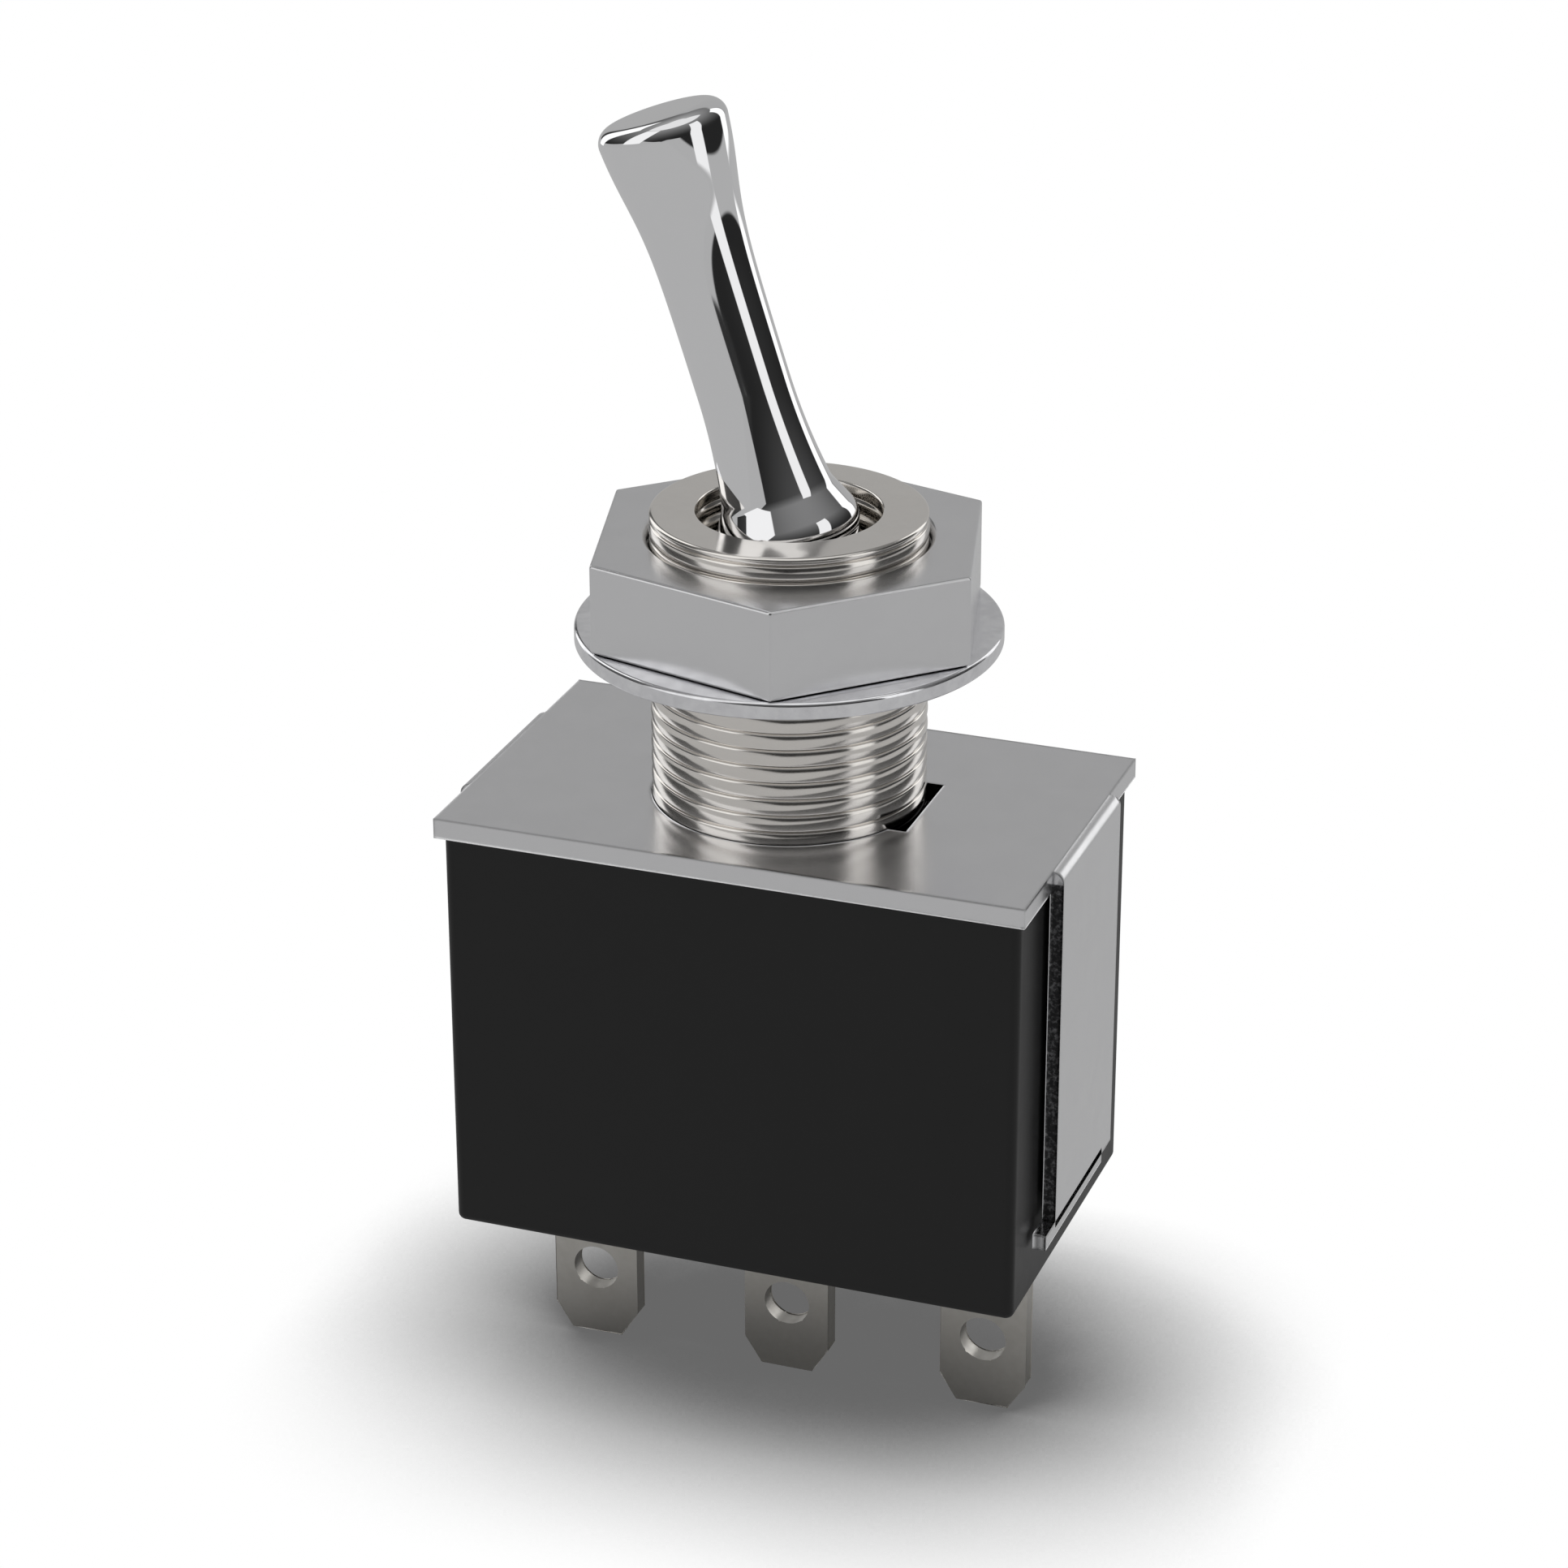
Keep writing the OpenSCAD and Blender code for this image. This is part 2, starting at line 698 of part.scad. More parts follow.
// Moves children from the lever's own axis to its place at rest
module lever_at_rest() {
    translate([0, 0, pivot_z]) rotate([0, -lever_lean, 0]) children();
}

// Turned lever with a pivot ball, a neck, a flared bat and a hollow arm
module lever() {
    color([0.68, 0.68, 0.69])
    lever_at_rest() difference() {
        rotate_extrude() lever_outline();
        rotate([90, 0, 0]) cylinder(r = pin_r + press_gap, h = 2 * pin_half, center = true);
        translate([0, 0, -arm_len - through])
            cylinder(r = chamber_r, h = arm_len + chamber_top + through);
    }
}

// Half section of the arm, the ball, the neck and the flared bat with its round edge
module lever_outline() {
    polygon(concat(
        [[0, -arm_len], [arm_r - arm_edge, -arm_len], [arm_r, -arm_len + arm_edge]],
        arc_points(0, 0, ball_r, -acos(arm_r / ball_r), hollow_angle, ball_steps),
        arc_points(lever_neck_r + hollow_r, neck_start, hollow_r, 180 + hollow_angle, 180, hollow_steps),
        [for (i = [0 : flare_steps - 1]) let (w = flare_start + (flare_end - flare_start) * i / flare_steps)
            [flare_r(w), w]],
        arc_points(tip_d / 2 - tip_edge, flare_end, tip_edge, 0, 90, edge_steps),
        [[0, lever_len]]
    ));
}

// Radius of the bat at a distance along the axis, from the neck to the round edge of its end
function flare_r(w) =
    lever_neck_r + (tip_d / 2 - lever_neck_r) * smooth((w - flare_start) / (flare_end - flare_start));

// Pin through the ball, whose ends bear on the tops of the keyways
module pivot_pin() {
    color([0.6, 0.6, 0.6])
    translate([0, 0, pivot_z]) rotate([90, 0, 0])
        cylinder(r = pin_r, h = 2 * pin_half, center = true);
}

// Nylon plunger with a round tip
module plunger() {
    color([0.9, 0.89, 0.84])
    lever_at_rest() rotate_extrude() polygon(concat(
        arc_points(0, -tip_centre, plunger_r, -90, 0, tip_steps),
        [[plunger_r, plunger_top], [0, plunger_top]]
    ));
}

// Coil spring between the end of the lever's chamber and the plunger
module plunger_spring() {
    count = spring_turns * spring_steps;
    rise = spring_top - spring_bottom;
    rings = [for (i = [0 : count]) let (
        a = 360 * i / spring_steps,
        z = spring_bottom + rise * i / count,
        slope = atan(rise / (spring_turns * 360 * spring_r * PI / 180))
    ) [for (j = [0 : spring_sides - 1]) let (
        b = 360 * j / spring_sides,
        out = spring_r + spring_wire / 2 * cos(b),
        along = -spring_wire / 2 * sin(b) * sin(slope)
    ) [out * cos(a) - along * sin(a), out * sin(a) + along * cos(a), z + spring_wire / 2 * sin(b) * cos(slope)]]];
    color([0.7, 0.7, 0.7])
    lever_at_rest()
        polyhedron([for (ring = rings) each ring], loft_faces(len(rings), spring_sides), convexity = 8);
}

// Flat washer with softened outer edges
module washer() {
    top = nut_rise - washer_gap;
    r = washer_d / 2;
    edge = washer_t / 5;
    color([0.7, 0.7, 0.72])
    rotate_extrude($fn = 96) polygon([
        [washer_bore_r, top - washer_t], [r - edge, top - washer_t], [r, top - washer_t + edge],
        [r, top - edge], [r - edge, top], [washer_bore_r, top]
    ]);
}

// Hexagon nut
module hex_nut() {
    color([0.63, 0.63, 0.64])
    translate([0, 0, nut_rise]) difference() {
        rotate([0, 0, nut_turn]) cylinder(d = nut_af / cos(30), h = nut_t, $fn = 6);
        translate([0, 0, -through])
            cylinder(r = bushing_r + thread_gap, h = nut_t + 2 * through, $fn = 96);
    }
}

bushing();
bracket();
case();
insulator();
terminal_seal();
common_terminal();
left_terminal();
right_terminal();
pivot_saddle();
left_fixed_contact();
right_fixed_contact();
rocker();
left_moving_contact();
right_moving_contact();
lever();
pivot_pin();
plunger_spring();
plunger();
washer();
hex_nut();
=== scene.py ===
"""Looks of a miniature panel toggle switch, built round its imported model.

Every size below is in millimetres in the frame of the model: the origin is on the bushing's axis in the
plane of the bracket's top, +Z points out of the panel and X runs along the row of terminals. A mesh is
worked out in millimetres with numpy and put into metres once, when it becomes an object.
"""

from __future__ import annotations

import logging
import math
from dataclasses import dataclass
from enum import Enum
from typing import Iterable, Sequence

import bpy
import numpy as np
from mathutils import Matrix


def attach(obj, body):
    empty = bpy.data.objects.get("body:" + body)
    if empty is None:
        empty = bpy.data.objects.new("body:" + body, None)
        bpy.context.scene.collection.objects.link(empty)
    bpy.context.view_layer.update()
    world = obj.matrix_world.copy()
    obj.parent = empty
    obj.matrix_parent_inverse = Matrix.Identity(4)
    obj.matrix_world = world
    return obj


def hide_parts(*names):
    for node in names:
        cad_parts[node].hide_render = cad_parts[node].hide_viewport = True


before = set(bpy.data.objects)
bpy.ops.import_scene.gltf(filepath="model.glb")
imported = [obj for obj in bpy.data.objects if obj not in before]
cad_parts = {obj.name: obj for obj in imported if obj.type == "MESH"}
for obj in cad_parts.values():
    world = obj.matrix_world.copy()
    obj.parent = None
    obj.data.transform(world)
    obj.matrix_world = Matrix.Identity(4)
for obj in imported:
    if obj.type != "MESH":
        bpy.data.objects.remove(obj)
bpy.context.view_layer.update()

MM = 0.001
HOLD = 0.012  # From a bend to the point that keeps the flat beside it flat in smooth shading.
THROUGH = 1.0  # How far a cutting tool stands out of what it cuts.
NEAR = 1e-6  # Within this a point counts as lying on a line.
EDGE_SAMPLES = 8
SHADE_SAMPLES = 32
LOG = logging.getLogger("toggle_switch")

Point = tuple[float, float]
Colour = tuple[float, float, float]

# Painted shade: the black that a finish takes below a height where it lies in shade.
PAINTED_SHADE_BLACK: Colour = (0.0, 0.0, 0.0)
# Painted shade for the leg's cut faces beside the case, speckled between these two.
PAINTED_SHADE_TORN_DARK: Colour = (0.05, 0.05, 0.052)
PAINTED_SHADE_TORN_PALE: Colour = (0.30, 0.30, 0.31)
TORN_ROUGHNESS = 0.5


class Axis(Enum):
    """The direction along which an outline is carried."""

    X = "x"
    Y = "y"
    Z = "z"


class Union(Enum):
    """What a tool does to a solid."""

    ADD = "UNION"
    CUT = "DIFFERENCE"


# Curves and grids.


def smooth_step(t: np.ndarray) -> np.ndarray:
    """Gives the cubic step t * t * (3 - 2 t) with t held between 0 and 1.

    Args:
        t: Any array.

    Returns:
        An array of the same shape, from 0 to 1.
    """
    held = np.clip(t, 0.0, 1.0)
    return held * held * (3.0 - 2.0 * held)


def arc(centre: Point, radius: float, start: float, end: float, steps: int) -> np.ndarray:
    """Samples a circle's arc: centre + radius * (cos a, sin a), a in equal steps from start to end.

    Args:
        centre: Centre of the circle.
        radius: Radius of the circle.
        start: First angle in degrees.
        end: Last angle in degrees.
        steps: Number of pieces.

    Returns:
        An array of steps + 1 points in the plane.
    """
    angle = np.radians(np.linspace(start, end, steps + 1))
    return np.stack([centre[0] + radius * np.cos(angle), centre[1] + radius * np.sin(angle)], axis=-1)


def circle(centre: Point, radius: float, sides: int) -> np.ndarray:
    """Gives the corners of a whole circle: centre + radius * (cos a, sin a), without the first one again."""
    return arc(centre, radius, 0.0, 360.0, sides)[:-1]


def rounded_corners(corners: Sequence[Point], radii: Sequence[float], steps: int) -> np.ndarray:
    """Rounds the corners of a closed outline.

    At each corner the two sides are cut at radius * tan(half the turn) from it, and the arc that touches
    both sides joins the cuts. A point is added on each side at HOLD from the arc, so that smooth shading
    stays flat between the corners.

    Args:
        corners: The outline's corners in order.
        radii: Radius at each corner, 0 for a sharp one.
        steps: Number of pieces in each arc.

    Returns:
        The points of the rounded outline in the same order.
    """
    count = len(corners)
    points: list[np.ndarray] = []
    for index, radius in enumerate(radii):
        corner = np.array(corners[index], dtype=float)
        towards_last = np.array(corners[index - 1], dtype=float) - corner
        towards_next = np.array(corners[(index + 1) % count], dtype=float) - corner
        towards_last /= np.linalg.norm(towards_last)
        towards_next /= np.linalg.norm(towards_next)
        if radius <= 0.0:
            points.append(corner[None, :])
            continue
        opening = math.acos(float(np.clip(towards_last @ towards_next, -1.0, 1.0)))
        cut = radius / math.tan(opening / 2.0)
        middle = towards_last + towards_next
        centre = corner + middle / np.linalg.norm(middle) * radius / math.sin(opening / 2.0)
        first = corner + towards_last * cut - centre
        last = corner + towards_next * cut - centre
        share = np.linspace(0.0, 1.0, steps + 1)[:, None]
        turn = math.pi - opening
        bent = (np.sin((1.0 - share) * turn) * first + np.sin(share * turn) * last) / math.sin(turn)
        points.append((corner + towards_last * (cut + HOLD))[None, :])
        points.append(centre + bent)
        points.append((corner + towards_next * (cut + HOLD))[None, :])
    return np.concatenate(points)


def revolve(profile: np.ndarray, sides: int) -> np.ndarray:
    """Turns a profile of (radius, height) points about Z: (r cos a, r sin a, z).

    Args:
        profile: Array of radii and heights.
        sides: Number of angles.

    Returns:
        A grid of points, one row for each profile point.
    """
    angle = np.linspace(0.0, 2.0 * math.pi, sides, endpoint=False)
    radius = profile[:, :1]
    height = np.repeat(profile[:, 1:], sides, axis=1)
    return np.stack([radius * np.cos(angle), radius * np.sin(angle), height], axis=-1)


def grid_faces(rows: int, columns: int, closed_rows: bool) -> np.ndarray:
    """Joins the points of a grid whose columns close on themselves into quads.

    Args:
        rows: Number of rows.
        columns: Number of points in each row.
        closed_rows: Whether the last row joins the first.

    Returns:
        An array of quads as point numbers.
    """
    row = np.arange(rows if closed_rows else rows - 1)[:, None]
    column = np.arange(columns)[None, :]
    here = row * columns
    above = (row + 1) % rows * columns
    beside = (column + 1) % columns
    return np.stack([here + column, here + beside, above + beside, above + column], axis=-1).reshape(-1, 4)


def volume_sign(points: np.ndarray, faces: Iterable[Sequence[int]]) -> float:
    """Sums the signed volumes of the tetrahedra from the origin to each face's fan of triangles.

    Args:
        points: Array of points.
        faces: Faces as point numbers.

    Returns:
        A number above zero where the faces point outwards.
    """
    total = 0.0
    groups: dict[int, list[Sequence[int]]] = {}
    for face in faces:
        groups.setdefault(len(face), []).append(face)
    for size, members in groups.items():
        corner = points[np.array(members)]
        for k in range(1, size - 1):
            total += float(np.einsum("ij,ij->", corner[:, 0], np.cross(corner[:, k], corner[:, k + 1])))
    return total


def make_mesh(name: str, points: np.ndarray, faces: list[Sequence[int]]) -> bpy.types.Mesh:
    """Puts points in millimetres and faces into a mesh in metres, turned over if its volume is below zero.

    Args:
        name: Name of the mesh.
        points: Array of points in millimetres.
        faces: Faces as point numbers.

    Returns:
        The new mesh.
    """
    if volume_sign(points, faces) < 0.0:
        faces = [tuple(reversed(face)) for face in faces]
    mesh = bpy.data.meshes.new(name)
    mesh.from_pydata((points * MM).tolist(), [], faces)
    mesh.validate()
    return mesh


def tube_mesh(name: str, grid: np.ndarray, closed_rows: bool) -> bpy.types.Mesh:
    """Makes a mesh from a grid whose columns close, with its ends closed by the grid's own last rows.

    Where the rows don't close, each end row is joined to its own mean point by a fan of triangles.

    Args:
        name: Name of the mesh.
        grid: Grid of points in millimetres.
        closed_rows: Whether the last row joins the first.

    Returns:
        The new mesh.
    """
    rows, columns = grid.shape[:2]
    points = grid.reshape(-1, 3)
    faces: list[Sequence[int]] = grid_faces(rows, columns, closed_rows).tolist()
    if not closed_rows:
        poles = np.stack([grid[0].mean(axis=0), grid[-1].mean(axis=0)])
        column = np.arange(columns)
        beside = (column + 1) % columns
        first = np.full(columns, rows * columns)
        last_row = (rows - 1) * columns
        faces += np.stack([first, beside, column], axis=-1).tolist()
        faces += np.stack([first + 1, last_row + column, last_row + beside], axis=-1).tolist()
        points = np.concatenate([points, poles])
    return make_mesh(name, points, faces)


def carried_outline(name: str, outline: np.ndarray, axis: Axis, low: float, high: float) -> bpy.types.Mesh:
    """Carries a closed plane outline along an axis: the outline's points at low, and again at high.

    An outline along X is given in (y, z), along Y in (x, z) and along Z in (x, y).
    Known fault: the two end faces turn against the sides. A cut or union with such a mesh can leave
    part of it behind, as in the bushing's bore. The two ends should change their order of points.

    Args:
        name: Name of the mesh.
        outline: Array of points in the plane.
        axis: Direction of the path.
        low: Start of the path.
        high: End of the path.

    Returns:
        The mesh of the sides and the two ends.
    """
    order = {Axis.X: (2, 0, 1), Axis.Y: (0, 2, 1), Axis.Z: (0, 1, 2)}[axis]
    count = len(outline)
    ends = [np.column_stack([outline, np.full(count, place)])[:, order] for place in (low, high)]
    faces: list[Sequence[int]] = grid_faces(2, count, False).tolist()
    faces += [tuple(range(count)), tuple(range(2 * count - 1, count - 1, -1))]
    return make_mesh(name, np.concatenate(ends), faces)


def rectangle(left: float, right: float, low: float, high: float) -> np.ndarray:
    """Gives the corners of a rectangle from left to right and from low to high."""
    return np.array([[left, low], [right, low], [right, high], [left, high]])


def box_mesh(name: str, low: Sequence[float], high: Sequence[float]) -> bpy.types.Mesh:
    """Makes a box between two corners as a rectangle carried along Z."""
    return carried_outline(name, rectangle(low[0], high[0], low[1], high[1]), Axis.Z, low[2], high[2])


# Objects.


def add_object(mesh: bpy.types.Mesh) -> bpy.types.Object:
    """Puts a mesh into the scene as an object at the origin.

    Args:
        mesh: The mesh, whose name the object takes.

    Returns:
        The new object.
    """
    piece = bpy.data.objects.new(mesh.name, mesh)
    bpy.context.scene.collection.objects.link(piece)
    return piece


def settle(piece: bpy.types.Object) -> None:
    """Replaces an object's mesh by the result of its modifiers.

    Args:
        piece: The object.
    """
    graph = bpy.context.evaluated_depsgraph_get()
    graph.update()
    mesh = bpy.data.meshes.new_from_object(piece.evaluated_get(graph))
    old = piece.data
    piece.modifiers.clear()
    piece.data = mesh
    mesh.name = piece.name
    bpy.data.meshes.remove(old)


def combine(piece: bpy.types.Object, mesh: bpy.types.Mesh, how: Union) -> None:
    """Combines an object with a tool mesh and drops the tool.

    Args:
        piece: The object that stays.
        mesh: The tool.
        how: Whether the tool is added or cut away.
    """
    tool = add_object(mesh)
    modifier = piece.modifiers.new("combine", "BOOLEAN")
    modifier.operation = how.value
    modifier.solver = "EXACT"
    modifier.object = tool
    settle(piece)
    bpy.data.objects.remove(tool)
    bpy.data.meshes.remove(mesh)


def soften_edges(piece: bpy.types.Object, width: float, segments: int, limit: float) -> None:
    """Bevels an object's edges and keeps its flats flat in shading.

    Args:
        piece: The object.
        width: Width of the bevel.
        segments: Number of faces across it.
        limit: Angle in degrees above which an edge is bevelled.
    """
    modifier = piece.modifiers.new("soften", "BEVEL")
    modifier.width = width * MM
    modifier.segments = segments
    modifier.limit_method = "ANGLE"
    modifier.angle_limit = math.radians(limit)
    modifier.harden_normals = True
    piece.data.shade_smooth()
    settle(piece)


def shade(piece: bpy.types.Object, sharp: float) -> None:
    """Shades an object smooth, apart from edges that turn by more than a sharp angle in degrees."""
    piece.data.shade_smooth()
    piece.data.set_sharp_from_angle(angle=math.radians(sharp))


# Shader nodes.


class Shader:
    """A node tree with short ways to add and join nodes."""

    def __init__(self, tree: bpy.types.NodeTree) -> None:
        """Takes the tree to work in."""
        self.tree = tree

    @classmethod
    def of(cls, owner: bpy.types.Material | bpy.types.World) -> Shader:
        """Starts an empty node tree on a material or a world.

        Args:
            owner: The material or the world.

        Returns:
            A Shader on its tree.
        """
        owner.use_nodes = True
        owner.node_tree.nodes.clear()
        return cls(owner.node_tree)

    def close(self, kind: str, surface: bpy.types.Node) -> None:
        """Joins a shader node to a new output node of a kind."""
        self.tree.links.new(surface.outputs[0], self.node(kind).inputs["Surface"])

    def node(self, kind: str, inputs: dict[str | int, object] | None = None,
             **settings: object) -> bpy.types.Node:
        """Adds a node.

        Args:
            kind: Blender's name of the node's type.
            inputs: Values or sockets for its inputs, by name or number.
            settings: The node's own properties.

        Returns:
            The node.
        """
        node = self.tree.nodes.new(kind)
        for key, value in settings.items():
            setattr(node, key, value)
        for key, value in (inputs or {}).items():
            if isinstance(value, bpy.types.NodeSocket):
                self.tree.links.new(value, node.inputs[key])
            else:
                node.inputs[key].default_value = value
        return node

    def math(self, operation: str, *values: object, clamp: bool = False) -> bpy.types.NodeSocket:
        """Adds a Math node and returns its output."""
        node = self.node("ShaderNodeMath", dict(enumerate(values)), operation=operation, use_clamp=clamp)
        return node.outputs[0]

    def ramp(self, value: object, low: float, high: float, out_low: object,
             out_high: object) -> bpy.types.NodeSocket:
        """Adds a smooth Map Range node and returns its output."""
        inputs = {"Value": value, "From Min": low, "From Max": high, "To Min": out_low, "To Max": out_high}
        return self.node("ShaderNodeMapRange", inputs, interpolation_type="SMOOTHSTEP").outputs[0]

    def blend(self, share: object, first: object, second: object) -> bpy.types.NodeSocket:
        """Adds a colour Mix node.

        Args:
            share: How much of the second colour is mixed in, a number or a socket.
            first: Colour or socket.
            second: Colour or socket.

        Returns:
            The mixed colour's socket.
        """
        node = self.node("ShaderNodeMix", data_type="RGBA")
        for socket, value in zip((node.inputs[0], node.inputs[6], node.inputs[7]), (share, first, second)):
            if isinstance(value, bpy.types.NodeSocket):
                self.tree.links.new(value, socket)
            elif isinstance(value, tuple) and len(value) == 3:
                socket.default_value = (*value, 1.0)
            else:
                socket.default_value = value
        return node.outputs[2]

    def group(self, tree: bpy.types.NodeTree, inputs: dict[str, object]) -> bpy.types.Node:
        """Places a node group with its inputs set and returns its node."""
        return self.node("ShaderNodeGroup", inputs, node_tree=tree)


def new_group(name: str, inputs: dict[str, tuple[str, object]],
              outputs: dict[str, str]) -> tuple[bpy.types.NodeTree, Shader, bpy.types.Node, bpy.types.Node]:
    """Starts a shader node group with named sockets.

    Args:
        name: Name of the group.
        inputs: For each input its kind, Float or Vector, and its default.
        outputs: For each output its kind.

    Returns:
        The group's tree, a Shader on it, its input node and its output node.
    """
    tree = bpy.data.node_groups.new(name, "ShaderNodeTree")
    for key, (kind, default) in inputs.items():
        socket = tree.interface.new_socket(key, in_out="INPUT", socket_type=f"NodeSocket{kind}")
        if default is not None:
            socket.default_value = default
    for key, kind in outputs.items():
        tree.interface.new_socket(key, in_out="OUTPUT", socket_type=f"NodeSocket{kind}")
    shader = Shader(tree)
    return tree, shader, shader.node("NodeGroupInput"), shader.node("NodeGroupOutput")


class Effects:
    """The shader node groups that several finishes share."""

    FINE_SCALE = 4.3
    FINE_SHARE = 0.35
    WIDE_ROUGHNESS = 0.6
    ACROSS = 0.9
    SPECKLE_ROUGHNESS = 0.7
    SPECKLE_RANGE = (0.45, 0.7)

    def __init__(self) -> None:
        """Builds each group once."""
        self.mottle = self._mottle()
        self.grain = self._grain()
        # Mask for painted shade below a height.
        self.depth = self._painted_shade_depth()
        # Cut faces of the legs: ragged speckle, painted dark as shade.
        self.torn_and_shaded = self._torn_and_shaded()
        self.panel = self._panel()

    @staticmethod
    def _mottle() -> bpy.types.NodeTree:
        """Clouds from two sizes of noise, pushed apart by a contrast.

        Returns:
            The group.
        """
        tree, shader, given, result = new_group(
            "mottle",
            {"Vector": ("Vector", None), "Scale": ("Float", 1.0), "Contrast": ("Float", 2.0)},
            {"Mask": "Float"},
        )
        wide = shader.node(
            "ShaderNodeTexNoise",
            {"Vector": given.outputs["Vector"], "Scale": given.outputs["Scale"], "Detail": 5.0,
             "Roughness": Effects.WIDE_ROUGHNESS},
        )
        fine = shader.node(
            "ShaderNodeTexNoise",
            {"Vector": given.outputs["Vector"],
             "Scale": shader.math("MULTIPLY", given.outputs["Scale"], Effects.FINE_SCALE), "Detail": 3.0},
        )
        mixed = shader.math("MULTIPLY_ADD", fine.outputs[0], Effects.FINE_SHARE,
                            shader.math("MULTIPLY", wide.outputs[0], 1.0 - Effects.FINE_SHARE))
        spread = shader.math("MULTIPLY", shader.math("SUBTRACT", mixed, 0.5), given.outputs["Contrast"])
        shader.tree.links.new(shader.math("ADD", spread, 0.5, clamp=True), result.inputs["Mask"])
        return tree

    @staticmethod
    def _grain() -> bpy.types.NodeTree:
        """Fine lines: noise stretched along one way by a vector of three scales.

        Returns:
            The group.
        """
        tree, shader, given, result = new_group(
            "grain", {"Vector": ("Vector", None), "Stretch": ("Vector", (1.0, 1.0, 1.0))}, {"Height": "Float"}
        )
        scaled = shader.node(
            "ShaderNodeVectorMath",
            {0: given.outputs["Vector"], 1: given.outputs["Stretch"]}, operation="MULTIPLY",
        )
        noise = shader.node("ShaderNodeTexNoise", {"Vector": scaled.outputs[0], "Scale": 1.0, "Detail": 3.0})
        shader.tree.links.new(noise.outputs[0], result.inputs["Height"])
        return tree

    @staticmethod
    def _painted_shade_depth() -> bpy.types.NodeTree:
        """Marks what lies below a height, where a finish's colour is painted black as shade.

        Returns:
            The group.
        """
        tree, shader, given, result = new_group(
            "depth", {"Vector": ("Vector", None), "Height": ("Float", 0.0)}, {"Mask": "Float"})
        height = shader.node("ShaderNodeSeparateXYZ", {0: given.outputs["Vector"]}).outputs[2]
        shader.tree.links.new(
            shader.math("LESS_THAN", height, given.outputs["Height"]), result.inputs["Mask"])
        return tree

    @staticmethod
    def _torn_and_shaded() -> bpy.types.NodeTree:
        """Marks the leg's cut faces, which look along Y beside the case, for painted shade, and gives the
        speckle on them.

        Returns:
            The group.
        """
        tree, shader, given, result = new_group(
            "sheared edge",
            {"Vector": ("Vector", None), "Normal": ("Vector", None), "Reach": ("Float", 6.62 * MM),
             "Side": ("Float", 2.4 * MM), "Top": ("Float", -0.3 * MM), "Grain": ("Float", 9.0 / MM)},
            {"Mask": "Float", "Speckle": "Float"},
        )
        place = shader.node("ShaderNodeSeparateXYZ", {0: given.outputs["Vector"]}).outputs
        facing = shader.node("ShaderNodeSeparateXYZ", {0: given.outputs["Normal"]}).outputs
        outside = shader.math("GREATER_THAN", shader.math("ABSOLUTE", place[0]), given.outputs["Reach"])
        below = shader.math("LESS_THAN", place[2], given.outputs["Top"])
        across = shader.math("GREATER_THAN", shader.math("ABSOLUTE", facing[1]), Effects.ACROSS)
        near = shader.math("LESS_THAN", shader.math("ABSOLUTE", place[1]), given.outputs["Side"])
        mask = shader.math("MULTIPLY", shader.math("MULTIPLY", outside, below),
                           shader.math("MULTIPLY", across, near))
        shader.tree.links.new(mask, result.inputs["Mask"])
        noise = shader.node(
            "ShaderNodeTexNoise",
            {"Vector": given.outputs["Vector"], "Scale": given.outputs["Grain"], "Detail": 4.0,
             "Roughness": Effects.SPECKLE_ROUGHNESS})
        speckle = shader.ramp(noise.outputs[0], *Effects.SPECKLE_RANGE, 0.0, 1.0)
        shader.tree.links.new(speckle, result.inputs["Speckle"])
        return tree

    @staticmethod
    def _panel() -> bpy.types.NodeTree:
        """A soft-edged panel of the studio in azimuth and elevation, whose upright sides may lean.

        Returns:
            The group.
        """
        tree, shader, given, result = new_group(
            "studio panel",
            {key: ("Float", 0.0) for key in
             ("Azimuth", "Elevation", "Left", "Left Lean", "Right", "Right Lean", "Low", "High", "Softness")},
            {"Mask": "Float"},
        )
        out = given.outputs
        rise = shader.math("SUBTRACT", out["Elevation"], out["Low"])
        inside = []
        for side, lean, sign in (("Left", "Left Lean", 1.0), ("Right", "Right Lean", -1.0)):
            edge = shader.math("MULTIPLY_ADD", rise, out[lean], out[side])
            inside.append(shader.math("MULTIPLY", shader.math("SUBTRACT", out["Azimuth"], edge), sign))
        inside.append(rise)
        inside.append(shader.math("SUBTRACT", out["High"], out["Elevation"]))
        mask = None
        for distance in inside:
            share = shader.math("DIVIDE", distance, out["Softness"])
            part = shader.ramp(share, -0.5, 0.5, 0.0, 1.0)
            mask = part if mask is None else shader.math("MULTIPLY", mask, part)
        shader.tree.links.new(mask, result.inputs["Mask"])
        return tree


